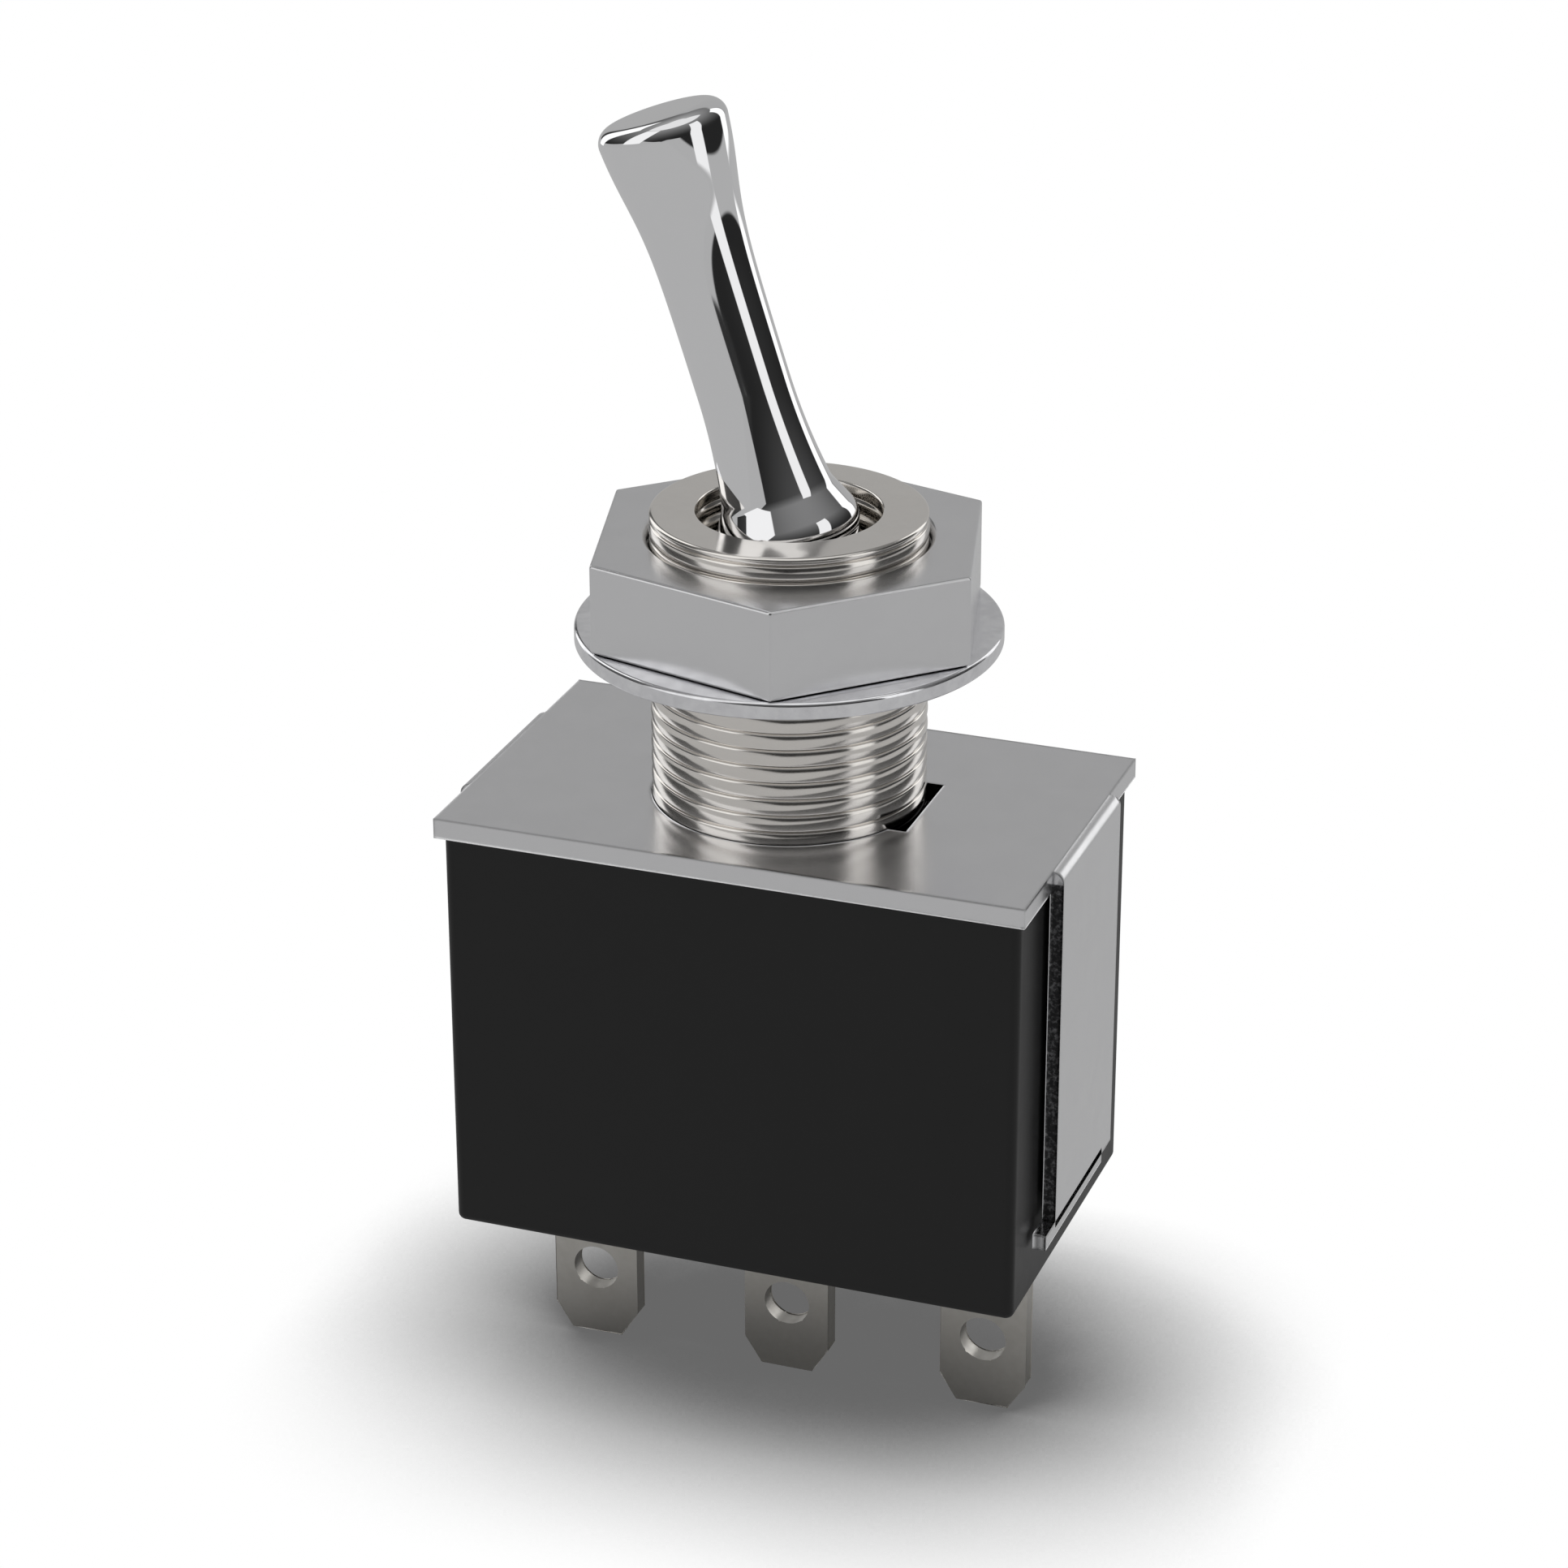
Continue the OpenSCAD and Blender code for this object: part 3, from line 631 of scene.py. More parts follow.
@dataclass(frozen=True)
class Finish:
    """One finish of the switch: a metal, a plastic or a resin.

    Attributes:
        colour: Main colour, linear.
        second: Colour that the mottling brings in.
        metallic: 1 for a metal.
        roughness: Roughness of the clean surface.
        worn: Roughness that the mottling brings in.
        mottle: Number of clouds to a millimetre.
        contrast: How far the clouds are pushed apart.
        stretch: Lines to a millimetre along X, Y and Z.
        grain: Height of the lines in micrometres.
        ior: Index of refraction.
        painted_shade_below: Height in millimetres below which the colour is painted black, as shade in the
            dark there.
        round_edge: Radius in millimetres to which the shading rounds the edges.
        torn_and_shaded: Whether the cut ends of the sheet are painted dark as shade, with a ragged speckle.
    """

    colour: Colour
    second: Colour
    metallic: float = 1.0
    roughness: float = 0.25
    worn: float = 0.32
    mottle: float = 0.6
    contrast: float = 2.0
    stretch: tuple[float, float, float] = (30.0, 30.0, 30.0)
    grain: float = 0.4
    ior: float = 1.45
    painted_shade_below: float | None = None
    round_edge: float = 0.0
    torn_and_shaded: bool = False

    def make(self, name: str, effects: Effects) -> bpy.types.Material:
        """Builds the material.

        Args:
            name: Name of the material.
            effects: The shared node groups.

        Returns:
            The material.
        """
        material = bpy.data.materials.new(name)
        material.diffuse_color = (*self.colour, 1.0)
        shader = Shader.of(material)
        place = shader.node("ShaderNodeTexCoord").outputs["Object"]
        colour, roughness = self._surface(shader, effects, place)
        lines = shader.group(
            effects.grain, {"Vector": place, "Stretch": tuple(value / MM for value in self.stretch)}
        ).outputs["Height"]
        bump = shader.node(
            "ShaderNodeBump", {"Height": lines, "Distance": self.grain * MM * MM, "Strength": 1.0})
        if self.round_edge > 0.0:
            rounded = shader.node("ShaderNodeBevel", {"Radius": self.round_edge * MM},
                                  samples=EDGE_SAMPLES)
            shader.tree.links.new(rounded.outputs[0], bump.inputs["Normal"])
        surface = shader.node(
            "ShaderNodeBsdfPrincipled",
            {"Base Color": colour, "Roughness": roughness, "Metallic": self.metallic, "IOR": self.ior,
             "Normal": bump.outputs[0]},
        )
        shader.close("ShaderNodeOutputMaterial", surface)
        return material

    def _surface(
        self, shader: Shader, effects: Effects, place: bpy.types.NodeSocket
    ) -> tuple[bpy.types.NodeSocket, bpy.types.NodeSocket]:
        """Works out the colour and roughness: clouds, painted black shade below a height, and the cut faces'
        painted shade.

        Args:
            shader: The material's nodes.
            effects: The shared node groups.
            place: Socket with the object's own coordinates.

        Returns:
            The colour's socket and the roughness's socket.
        """
        clouds = shader.group(
            effects.mottle, {"Vector": place, "Scale": self.mottle / MM, "Contrast": self.contrast}
        ).outputs["Mask"]
        colour = shader.blend(clouds, self.colour, self.second)
        roughness = shader.ramp(clouds, 0.0, 1.0, self.roughness, self.worn)
        # Painted shade: black below a height, where the piece lies in shade.
        if self.painted_shade_below is not None:
            painted_shade = shader.group(
                effects.depth, {"Vector": place, "Height": self.painted_shade_below * MM}).outputs["Mask"]
            colour = shader.blend(painted_shade, colour, PAINTED_SHADE_BLACK)
        # Painted shade: the leg's cut faces beside the case are painted dark, with a ragged speckle.
        if self.torn_and_shaded:
            facing = shader.node("ShaderNodeTexCoord").outputs["Normal"]
            torn_shade = shader.group(effects.torn_and_shaded, {"Vector": place, "Normal": facing}).outputs
            speckled_shade = shader.blend(torn_shade["Speckle"], PAINTED_SHADE_TORN_DARK, PAINTED_SHADE_TORN_PALE)
            colour = shader.blend(torn_shade["Mask"], colour, speckled_shade)
            roughness = shader.ramp(torn_shade["Mask"], 0.0, 1.0, roughness, TORN_ROUGHNESS)
        return colour, roughness


class Look(Enum):
    """The finishes by the model's material slots."""

    CHROMED = "chromed"
    NICKEL = "nickel"
    BRACKET_STEEL = "bracket_steel"
    NUT_STEEL = "nut_steel"
    WASHER_STEEL = "washer_steel"
    BLACK_PLASTIC = "black_plastic"
    BLACK_CARD = "black_card"
    SEALANT = "sealant"
    PLATED_BRASS = "plated_brass"
    BARE_BRASS = "bare_brass"
    CONTACT_METAL = "contact_metal"
    HARD_STEEL = "hard_steel"
    SPRING_STEEL = "spring_steel"
    WHITE_NYLON = "white_nylon"


FINISHES: dict[Look, Finish] = {
    Look.CHROMED: Finish(
        (0.92, 0.92, 0.93), (0.9, 0.9, 0.91), roughness=0.02, worn=0.035, mottle=0.5, grain=0.0),
    # Nickel painted black as shade below -0.03, where the flange lies in shade in the bracket's notch.
    Look.NICKEL: Finish(
        (0.87, 0.84, 0.80), (0.82, 0.79, 0.75), roughness=0.13, worn=0.17, mottle=0.8,
        grain=0.0, painted_shade_below=-0.03),
    # The bracket's leg cut faces are painted dark as shade, with a ragged speckle.
    Look.BRACKET_STEEL: Finish(
        (0.80, 0.80, 0.81), (0.77, 0.77, 0.78), roughness=0.2, worn=0.27,
        mottle=0.7, stretch=(3.0, 40.0, 40.0), grain=0.15, round_edge=0.13, torn_and_shaded=True),
    Look.NUT_STEEL: Finish(
        (0.80, 0.80, 0.81), (0.77, 0.77, 0.78), roughness=0.2, worn=0.27, mottle=0.8,
        stretch=(20.0, 20.0, 20.0), grain=0.3),
    Look.WASHER_STEEL: Finish(
        (0.95, 0.95, 0.97), (0.80, 0.80, 0.82), roughness=0.08, worn=0.22,
        mottle=0.9, contrast=4.0, grain=0.1),
    Look.BLACK_PLASTIC: Finish(
        (0.0012, 0.0012, 0.0013), (0.0025, 0.0025, 0.0026), metallic=0.0,
        roughness=0.36, worn=0.42, mottle=0.5, grain=0.3, ior=1.42),
    Look.BLACK_CARD: Finish(
        (0.0005, 0.0005, 0.0005), (0.001, 0.001, 0.001), metallic=0.0, roughness=0.9,
        worn=1.0, grain=2.0),
    Look.SEALANT: Finish(
        (0.02, 0.017, 0.014), (0.03, 0.025, 0.02), metallic=0.0, roughness=0.3,
        worn=0.45, grain=2.0),
    Look.PLATED_BRASS: Finish(
        (0.70, 0.68, 0.64), (0.58, 0.56, 0.52), roughness=0.28, worn=0.38,
        mottle=0.9, contrast=2.6, grain=0.8),
    Look.BARE_BRASS: Finish((0.78, 0.62, 0.33), (0.68, 0.52, 0.27), roughness=0.25, worn=0.36, mottle=0.9),
    Look.CONTACT_METAL: Finish((0.88, 0.86, 0.82), (0.78, 0.76, 0.71), roughness=0.2, worn=0.3),
    Look.HARD_STEEL: Finish((0.72, 0.72, 0.72), (0.66, 0.66, 0.66), roughness=0.15, worn=0.22),
    Look.SPRING_STEEL: Finish((0.66, 0.66, 0.67), (0.56, 0.56, 0.57), roughness=0.25, worn=0.35),
    Look.WHITE_NYLON: Finish(
        (0.80, 0.79, 0.74), (0.74, 0.73, 0.68), metallic=0.0, roughness=0.4,
        worn=0.5, grain=0.8),
}


class Workshop:
    """Holds the materials and hands finished pieces to the frame."""

    def __init__(self) -> None:
        """Builds the shared effects and every finish."""
        self.effects = Effects()
        self.materials = {look: finish.make(look.value, self.effects) for look, finish in FINISHES.items()}

    def hand_in(self, piece: bpy.types.Object, body: str, look: Look, nodes: Sequence[str]) -> None:
        """Dresses a piece and puts it on its body in the place of the nodes that it stands for.

        Args:
            piece: The finished object.
            body: Body that it moves with.
            look: Its finish.
            nodes: Nodes that it replaces.
        """
        piece.data.materials.clear()
        piece.data.materials.append(self.materials[look])
        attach(piece, body)
        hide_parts(*nodes)
        LOG.info("%s: %d faces, stands for %s", piece.name, len(piece.data.polygons), ", ".join(nodes))

    def dress_node(self, node: str, look: Look) -> None:
        """Gives a node that stays its finish.

        Args:
            node: Name of the node.
            look: Its finish.
        """
        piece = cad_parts[node]
        for slot in piece.material_slots:
            slot.material = self.materials[look]
        if not piece.material_slots:
            piece.data.materials.append(self.materials[look])
        LOG.info("%s: kept from the model", node)


# Sub-assemblies.


@dataclass
class Bushing:
    """The turned bushing with its outer thread, ringed mouth, throat, flange, keyways and notch."""

    outer_r: float = 3.0
    bore_r: float = 2.0
    top: float = 6.52
    flange_r: float = 3.6
    flange_top: float = -0.456
    flange_bottom: float = -0.856
    throat_r: float = 2.73
    throat_top: float = 3.6
    rim_r: float = 0.1
    mouth_r: float = 0.05
    throat_edge: float = 0.03
    flange_edge: float = 0.05
    arc_gap: float = 0.01
    thread_low: float = -0.4
    fade: float = 0.1
    pitch: float = 0.3785
    first_crease: float = 0.282
    bead_rise: float = 0.036
    crease_depth: float = 0.035
    crease_half: float = 0.034
    ring_depth: float = 0.08
    ring_pitch: float = 0.385
    ring_start: float = 0.323
    ring_low: float = 4.95
    ring_high: float = 6.3
    key_half: float = 0.34
    key_floor: float = 2.45
    key_top: float = 6.0
    notch_x: float = 2.97
    notch_half: float = 1.3
    notch_over: float = 0.02
    turns_below: int = 2
    crease_rows: int = 9
    bead_rows: int = 13
    ring_rows: int = 20
    sides: int = 192
    sharp: float = 35.0

    def profile(self) -> np.ndarray:
        """Gives the closed section as radius and height, before the threads and the mouth's rings are cut.

        Returns:
            Array of points from the throat's lower edge round the outside and back down the bore.
        """
        outside = self.thread_heights()
        inside = np.arange(self.top - self.mouth_r - self.arc_gap, self.ring_low - self.fade,
                           -self.ring_pitch / self.ring_rows)
        rim = self.top - self.rim_r
        return np.concatenate([
            rounded_corners(
                [(self.throat_r, self.flange_bottom), (self.flange_r, self.flange_bottom),
                 (self.flange_r, self.flange_top), (self.outer_r, self.flange_top)],
                [self.throat_edge, self.flange_edge, self.flange_edge, 0.0], steps=3),
            np.column_stack([np.full(len(outside), self.outer_r), outside]),
            arc((self.outer_r - self.rim_r, rim), self.rim_r, 0.0, 90.0, steps=10),
            [(self.outer_r - self.rim_r - HOLD, self.top), (self.bore_r + self.mouth_r + HOLD, self.top)],
            arc((self.bore_r + self.mouth_r, self.top - self.mouth_r), self.mouth_r, 90.0, 180.0, steps=6),
            np.column_stack([np.full(len(inside), self.bore_r), inside]),
            [(self.bore_r, self.throat_top + HOLD), (self.bore_r, self.throat_top)],
        ])

    def thread_heights(self) -> np.ndarray:
        """Gives heights through the threads that lie close together at the creases and wider on the beads.

        Returns:
            Rising array of heights.
        """
        half = self.crease_half / self.pitch
        crease = half * np.linspace(-1.0, 1.0, self.crease_rows)
        bead = np.linspace(half, 1.0 - half, self.bead_rows)[1:-1]
        last = int((self.top - self.first_crease) / self.pitch)
        whole = np.arange(-self.turns_below, last + 1)
        turns = (whole[:, None] + np.concatenate([crease, bead])[None, :]).ravel()
        heights = self.first_crease + turns * self.pitch
        above = heights > self.flange_top + self.flange_edge
        return heights[above & (heights < self.top - self.rim_r - self.arc_gap)]

    def thread_cut(self, turns: np.ndarray) -> np.ndarray:
        """Gives the depth of the thread at a place counted in pitches.

        With d the distance to the nearest crease in pitches, a bead is the parabola
        rise * (1 - 2 d) squared, and the crease between two beads is a narrow cubic step.

        Args:
            turns: Height above the first crease, in pitches.

        Returns:
            Depth in millimetres.
        """
        away = np.abs(turns - np.round(turns))
        bead = self.bead_rise * (1.0 - 2.0 * away) ** 2
        return bead + self.crease_depth * (1.0 - smooth_step(away * self.pitch / self.crease_half))

    def ring_cut(self, turns: np.ndarray) -> np.ndarray:
        """Gives the depth of the mouth's hollow rings: depth * sin(pi t) squared, with t in pitches."""
        return self.ring_depth * np.sin(math.pi * turns) ** 2

    def surface(self) -> np.ndarray:
        """Cuts the threads and the mouth's rings into the section and turns it about Z.

        Returns:
            Grid of points in millimetres.
        """
        section = self.profile()
        radius, height = section[:, 0], section[:, 1]
        outside = (radius > self.outer_r - self.rim_r - NEAR) & (radius < self.outer_r + NEAR)
        ends = (smooth_step((self.top - height) / self.rim_r)
                * smooth_step((height - self.thread_low) / self.fade))
        thread = self.thread_cut((height - self.first_crease) / self.pitch) * ends
        inside = np.abs(radius - self.bore_r) < NEAR
        band = (smooth_step((height - self.ring_low) / self.fade)
                * smooth_step((self.ring_high - height) / self.fade))
        rings = self.ring_cut((height - self.ring_start) / self.ring_pitch) * band
        cut_radius = radius - np.where(outside, thread, 0.0) + np.where(inside, rings, 0.0)
        return revolve(np.column_stack([cut_radius, height]), self.sides)

    def build(self, shop: Workshop) -> None:
        """Builds the bushing and hands it in.

        Args:
            shop: The workshop that dresses it.
        """
        piece = add_object(tube_mesh("threaded_bushing", self.surface(), True))
        far = self.flange_r + THROUGH
        deep = self.flange_bottom - THROUGH
        key = np.concatenate([
            [(-self.key_half, deep), (self.key_half, deep)],
            arc((0.0, self.key_top), self.key_half, 0.0, 180.0, steps=16),
        ])
        combine(piece, carried_outline("key_tool", key, Axis.Y, -self.key_floor, self.key_floor), Union.CUT)
        notch = box_mesh("notch_tool", (self.notch_x, -self.notch_half, deep),
                         (far, self.notch_half, self.flange_top + self.notch_over))
        combine(piece, notch, Union.CUT)
        shade(piece, self.sharp)
        shop.hand_in(piece, "housing", Look.NICKEL, ["bushing"])


@dataclass
class Lever:
    """The chromed, turned lever: bored arm, pivot ball, waisted neck and flared bat with a flat end."""

    pivot_z: float = 6.0
    lean: float = 17.95
    ball_r: float = 1.5
    ball_top: float = -9.3
    shoulder_r: float = 0.64
    shoulder_z: float = 0.08
    shoulder_low: float = -30.2
    shoulder_high: float = 27.0
    fillet_r: float = 0.6
    neck_foot: float = 1.0
    neck_r: float = 1.008
    neck_bend: float = 0.0375
    neck_end: float = 3.3
    length: float = 9.35
    flare_rise: float = 0.445
    flare_middle: float = 7.75
    flare_spread: float = 0.625
    tip_edge: float = 0.38
    arm_r: float = 0.8
    arm_end: float = -4.7
    arm_edge: float = 0.1
    chamber_r: float = 0.45
    chamber_top: float = -0.95
    chamber_edge: float = 0.01
    chamber_floor: float = 0.2
    arm_hold: float = 0.02
    cap_ring: float = 0.4
    sides: int = 192
    bat_rows: int = 160
    sharp: float = 60.0

    def bat_radius(self, height: np.ndarray) -> np.ndarray:
        """Gives the radius of neck and bat: a slight hollow below and a flare at the top.

        At height w it is neck + bend * max(end - w, 0) squared + rise / (1 + exp((middle - w) / spread)).

        Args:
            height: Heights along the lever's axis.

        Returns:
            The radii.
        """
        hollow = self.neck_bend * np.maximum(self.neck_end - height, 0.0) ** 2
        flare = self.flare_rise / (1.0 + np.exp((self.flare_middle - height) / self.flare_spread))
        return self.neck_r + hollow + flare

    def shoulder(self) -> np.ndarray:
        """Gives the round shoulder over the ball's middle, its cone, and the fillet up to the neck's foot.

        Returns:
            Array of points, from the ball up to the foot of the neck.
        """
        slope = math.radians(self.shoulder_high)
        neck_slope = math.atan(2.0 * self.neck_bend * (self.neck_end - self.neck_foot))
        foot_r = float(self.bat_radius(np.array(self.neck_foot)))
        fillet = (foot_r + self.fillet_r * math.cos(neck_slope),
                  self.neck_foot + self.fillet_r * math.sin(neck_slope))
        top = (fillet[0] - self.fillet_r * math.cos(slope), fillet[1] - self.fillet_r * math.sin(slope))
        cone_z = self.shoulder_z + self.shoulder_r * math.sin(slope)
        cone_r = top[0] + math.tan(slope) * (top[1] - cone_z)
        return np.concatenate([
            arc((cone_r - self.shoulder_r * math.cos(slope), self.shoulder_z), self.shoulder_r,
                self.shoulder_low, self.shoulder_high, steps=36),
            arc(fillet, self.fillet_r, 180.0 + self.shoulder_high, 180.0 + math.degrees(neck_slope),
                steps=30),
        ])

    def profile(self) -> np.ndarray:
        """Gives the lever's half section as radius and height along its own axis.

        It runs from the chamber's closed end down its wall, round the arm's end, up the arm, the ball, the
        shoulder and the bat, and over the round edge onto the flat end.

        Returns:
            Array of points.
        """
        arm_angle = -math.degrees(math.acos(self.arm_r / self.ball_r))
        flare_end = self.length - self.tip_edge
        shoulder = self.shoulder()
        height = np.linspace(shoulder[-1, 1], flare_end, self.bat_rows)[1:]
        radius = self.bat_radius(height)
        cap_r = float(radius[-1]) - self.tip_edge
        edge = self.chamber_edge
        return np.concatenate([
            [(self.chamber_floor, self.chamber_top), (self.chamber_r - edge, self.chamber_top)],
            [(self.chamber_r, self.chamber_top - edge), (self.chamber_r, self.arm_end + edge)],
            [(self.chamber_r + edge, self.arm_end), (self.arm_r - self.arm_edge, self.arm_end)],
            arc((self.arm_r - self.arm_edge, self.arm_end + self.arm_edge), self.arm_edge, -80.0, 0.0,
                steps=4),
            [(self.arm_r, self.arm_end + self.arm_edge + self.arm_hold),
             (self.arm_r, -self.ball_r * math.sin(math.radians(-arm_angle)) - self.arm_hold)],
            arc((0.0, 0.0), self.ball_r, arm_angle, self.ball_top, steps=40)[:-1],
            shoulder,
            np.column_stack([radius, height]),
            arc((cap_r, flare_end), self.tip_edge, 0.0, 90.0, steps=20)[1:],
            [(cap_r - HOLD, self.length), (self.cap_ring, self.length)],
        ])

    def surface(self) -> np.ndarray:
        """Turns the half section about the lever's axis and leans it over by the angle t.

        The lean takes x and z to x cos t - z sin t and x sin t + z cos t.

        Returns:
            Grid of points in millimetres.
        """
        grid = revolve(self.profile(), self.sides)
        lean = math.radians(self.lean)
        x, y, z = grid[..., 0], grid[..., 1], grid[..., 2]
        return np.stack([x * math.cos(lean) - z * math.sin(lean), y,
                         x * math.sin(lean) + z * math.cos(lean) + self.pivot_z], axis=-1)

    def build(self, shop: Workshop) -> None:
        """Builds the lever and hands it in.

        Args:
            shop: The workshop that dresses it.
        """
        piece = add_object(tube_mesh("chromed_lever", self.surface(), False))
        shade(piece, self.sharp)
        shop.hand_in(piece, "lever", Look.CHROMED, ["lever"])


@dataclass
class HexNut:
    """The plain hexagon nut."""

    across_flats: float = 8.0
    low: float = 3.985
    high: float = 5.98
    turn: float = -15.0
    bore_r: float = 3.05
    corner_r: float = 0.07
    corner_low: float = 0.012
    edge_r: float = 0.062
    edge_rows: int = 4
    bore_edge: float = 0.1
    bore_hold: float = 0.09
    side_hold: float = 0.004
    side_points: int = 14
    sharp: float = 50.0

    def outline(self, inset: float) -> np.ndarray:
        """Gives the hexagon with round corners, drawn in by an inset.

        Args:
            inset: Distance that each side moves inwards.

        Returns:
            The outline's points.
        """
        apothem = self.across_flats / 2.0 - inset
        radius = max(self.corner_r - inset, self.corner_low)
        reach = (apothem - radius) / math.cos(math.radians(30.0))
        points: list[np.ndarray] = []
        for corner in range(6):
            middle = self.turn + 60.0 * corner
            centre = (reach * math.cos(math.radians(middle)), reach * math.sin(math.radians(middle)))
            bend = arc(centre, radius, middle - 30.0, middle + 30.0, steps=4)
            next_middle = math.radians(middle + 60.0)
            side = math.radians(middle + 30.0)
            after = np.array([reach * math.cos(next_middle) + radius * math.cos(side),
                              reach * math.sin(next_middle) + radius * math.sin(side)])
            share = np.concatenate([
                [self.side_hold], np.linspace(0.0, 1.0, self.side_points)[1:-1], [1.0 - self.side_hold]])
            points += [bend, bend[-1] + (after - bend[-1]) * share[:, None]]
        return np.concatenate(points)

    def surface(self) -> np.ndarray:
        """Joins the bore's circles and the hexagon's outlines ring by ring into one closed surface.

        Returns:
            Grid of points in millimetres.
        """
        bare = self.outline(0.0)
        angle = np.arctan2(bare[:, 1], bare[:, 0])
        quarter = np.radians(np.linspace(0.0, 90.0, self.edge_rows))

        def bore(radius: float, height: float) -> np.ndarray:
            """Gives a circle at the outline's own angles."""
            return np.column_stack([radius * np.cos(angle), radius * np.sin(angle),
                                    np.full(len(angle), height)])

        def ring(inset: float, height: float) -> np.ndarray:
            """Gives the outline at a height."""
            flat = self.outline(inset)
            return np.column_stack([flat, np.full(len(flat), height)])

        low, high, edge = self.low, self.high, self.edge_r
        rings = [bore(self.bore_r + self.bore_edge, low), bore(self.bore_r + self.bore_hold, low),
                 bore(self.bore_r, low + self.bore_edge), bore(self.bore_r, high - self.bore_edge),
                 bore(self.bore_r + self.bore_hold, high), bore(self.bore_r + self.bore_edge, high),
                 ring(edge + HOLD, high)]
        rings += [ring(edge * (1.0 - math.sin(t)), high - edge * (1.0 - math.cos(t))) for t in quarter]
        rings += [ring(0.0, high - edge - HOLD), ring(0.0, low + edge + HOLD)]
        rings += [ring(edge * (1.0 - math.cos(t)), low + edge * (1.0 - math.sin(t))) for t in quarter]
        rings.append(ring(edge + HOLD, low))
        return np.stack(rings)

    def build(self, shop: Workshop) -> None:
        """Builds the nut and hands it in.

        Args:
            shop: The workshop that dresses it.
        """
        piece = add_object(tube_mesh("panel_nut", self.surface(), True))
        shade(piece, self.sharp)
        shop.hand_in(piece, "nut", Look.NUT_STEEL, ["hex_nut"])


@dataclass
class Washer:
    """The flat stamped washer with softened edges."""

    outer_r: float = 4.625
    bore_r: float = 3.08
    low: float = 3.585
    high: float = 3.97
    top_edge: float = 0.09
    low_edge: float = 0.06
    bore_edge: float = 0.03
    sides: int = 240
    sharp: float = 50.0

    def build(self, shop: Workshop) -> None:
        """Builds the washer and hands it in.

        Args:
            shop: The workshop that dresses it.
        """
        section = rounded_corners(
            [(self.bore_r, self.low), (self.outer_r, self.low), (self.outer_r, self.high),
             (self.bore_r, self.high)],
            [self.bore_edge, self.low_edge, self.top_edge, self.bore_edge], steps=6)
        piece = add_object(tube_mesh("flat_washer", revolve(section, self.sides), True))
        shade(piece, self.sharp)
        shop.hand_in(piece, "washer", Look.WASHER_STEEL, ["washer"])


@dataclass
class Bracket:
    """The folded steel bracket: plate, round folds, legs and foot strips."""

    half_l: float = 6.665
    half_w: float = 4.12
    thick: float = 0.456
    hole_r: float = 3.01
    notch_x: float = 3.12
    notch_half: float = 1.3
    leg_inner: float = 6.605
    leg_outer: float = 6.905
    leg_half: float = 2.125
    leg_bottom: float = -8.52
    fold_drop: float = 0.02
    foot_low: float = -8.72
    foot_high: float = -8.36
    foot_shift: float = 0.7
    leg_root: float = 0.3
    hole_sides: int = 128
    sharp: float = 30.0

    def leg_section(self) -> np.ndarray:
        """Gives the right leg's section in X and Z: the fold's outer arc, then the sheet down to the foot.

        Returns:
            Array of points.
        """
        fold_r = self.leg_outer - self.half_l
        return np.concatenate([
            [(self.half_l - self.leg_root, -self.thick), (self.half_l - self.leg_root, -self.fold_drop)],
            arc((self.half_l, -self.fold_drop - fold_r), fold_r, 90.0, 0.0, steps=14),
            [(self.leg_outer, self.leg_bottom), (self.leg_inner, self.leg_bottom),
             (self.leg_inner, -self.thick)],
        ])

    def build(self, shop: Workshop) -> None:
        """Builds the bracket and hands it in.

        Args:
            shop: The workshop that dresses it.
        """
        plate = box_mesh("steel_bracket", (-self.half_l, -self.half_w, -self.thick),
                         (self.half_l, self.half_w, 0.0))
        piece = add_object(plate)
        for side in (1.0, -1.0):
            turned = np.array([side, 1.0])
            leg = carried_outline("leg", self.leg_section() * turned, Axis.Y, -self.leg_half, self.leg_half)
            combine(piece, leg, Union.ADD)
            near, far = sorted((self.leg_inner * side, self.leg_outer * side))
            strip = rectangle((-self.leg_half - self.foot_shift) * side,
                              (self.leg_half - self.foot_shift) * side, self.foot_low, self.foot_high)
            combine(piece, carried_outline("foot", strip, Axis.X, near, far), Union.ADD)
        hole = circle((0.0, 0.0), self.hole_r, self.hole_sides)
        combine(piece, carried_outline("hole", hole, Axis.Z, -THROUGH, THROUGH), Union.CUT)
        notch = box_mesh("notch", (0.0, -self.notch_half, -THROUGH), (self.notch_x, self.notch_half, THROUGH))
        combine(piece, notch, Union.CUT)
        shade(piece, self.sharp)
        shop.hand_in(piece, "housing", Look.BRACKET_STEEL, ["bracket"])


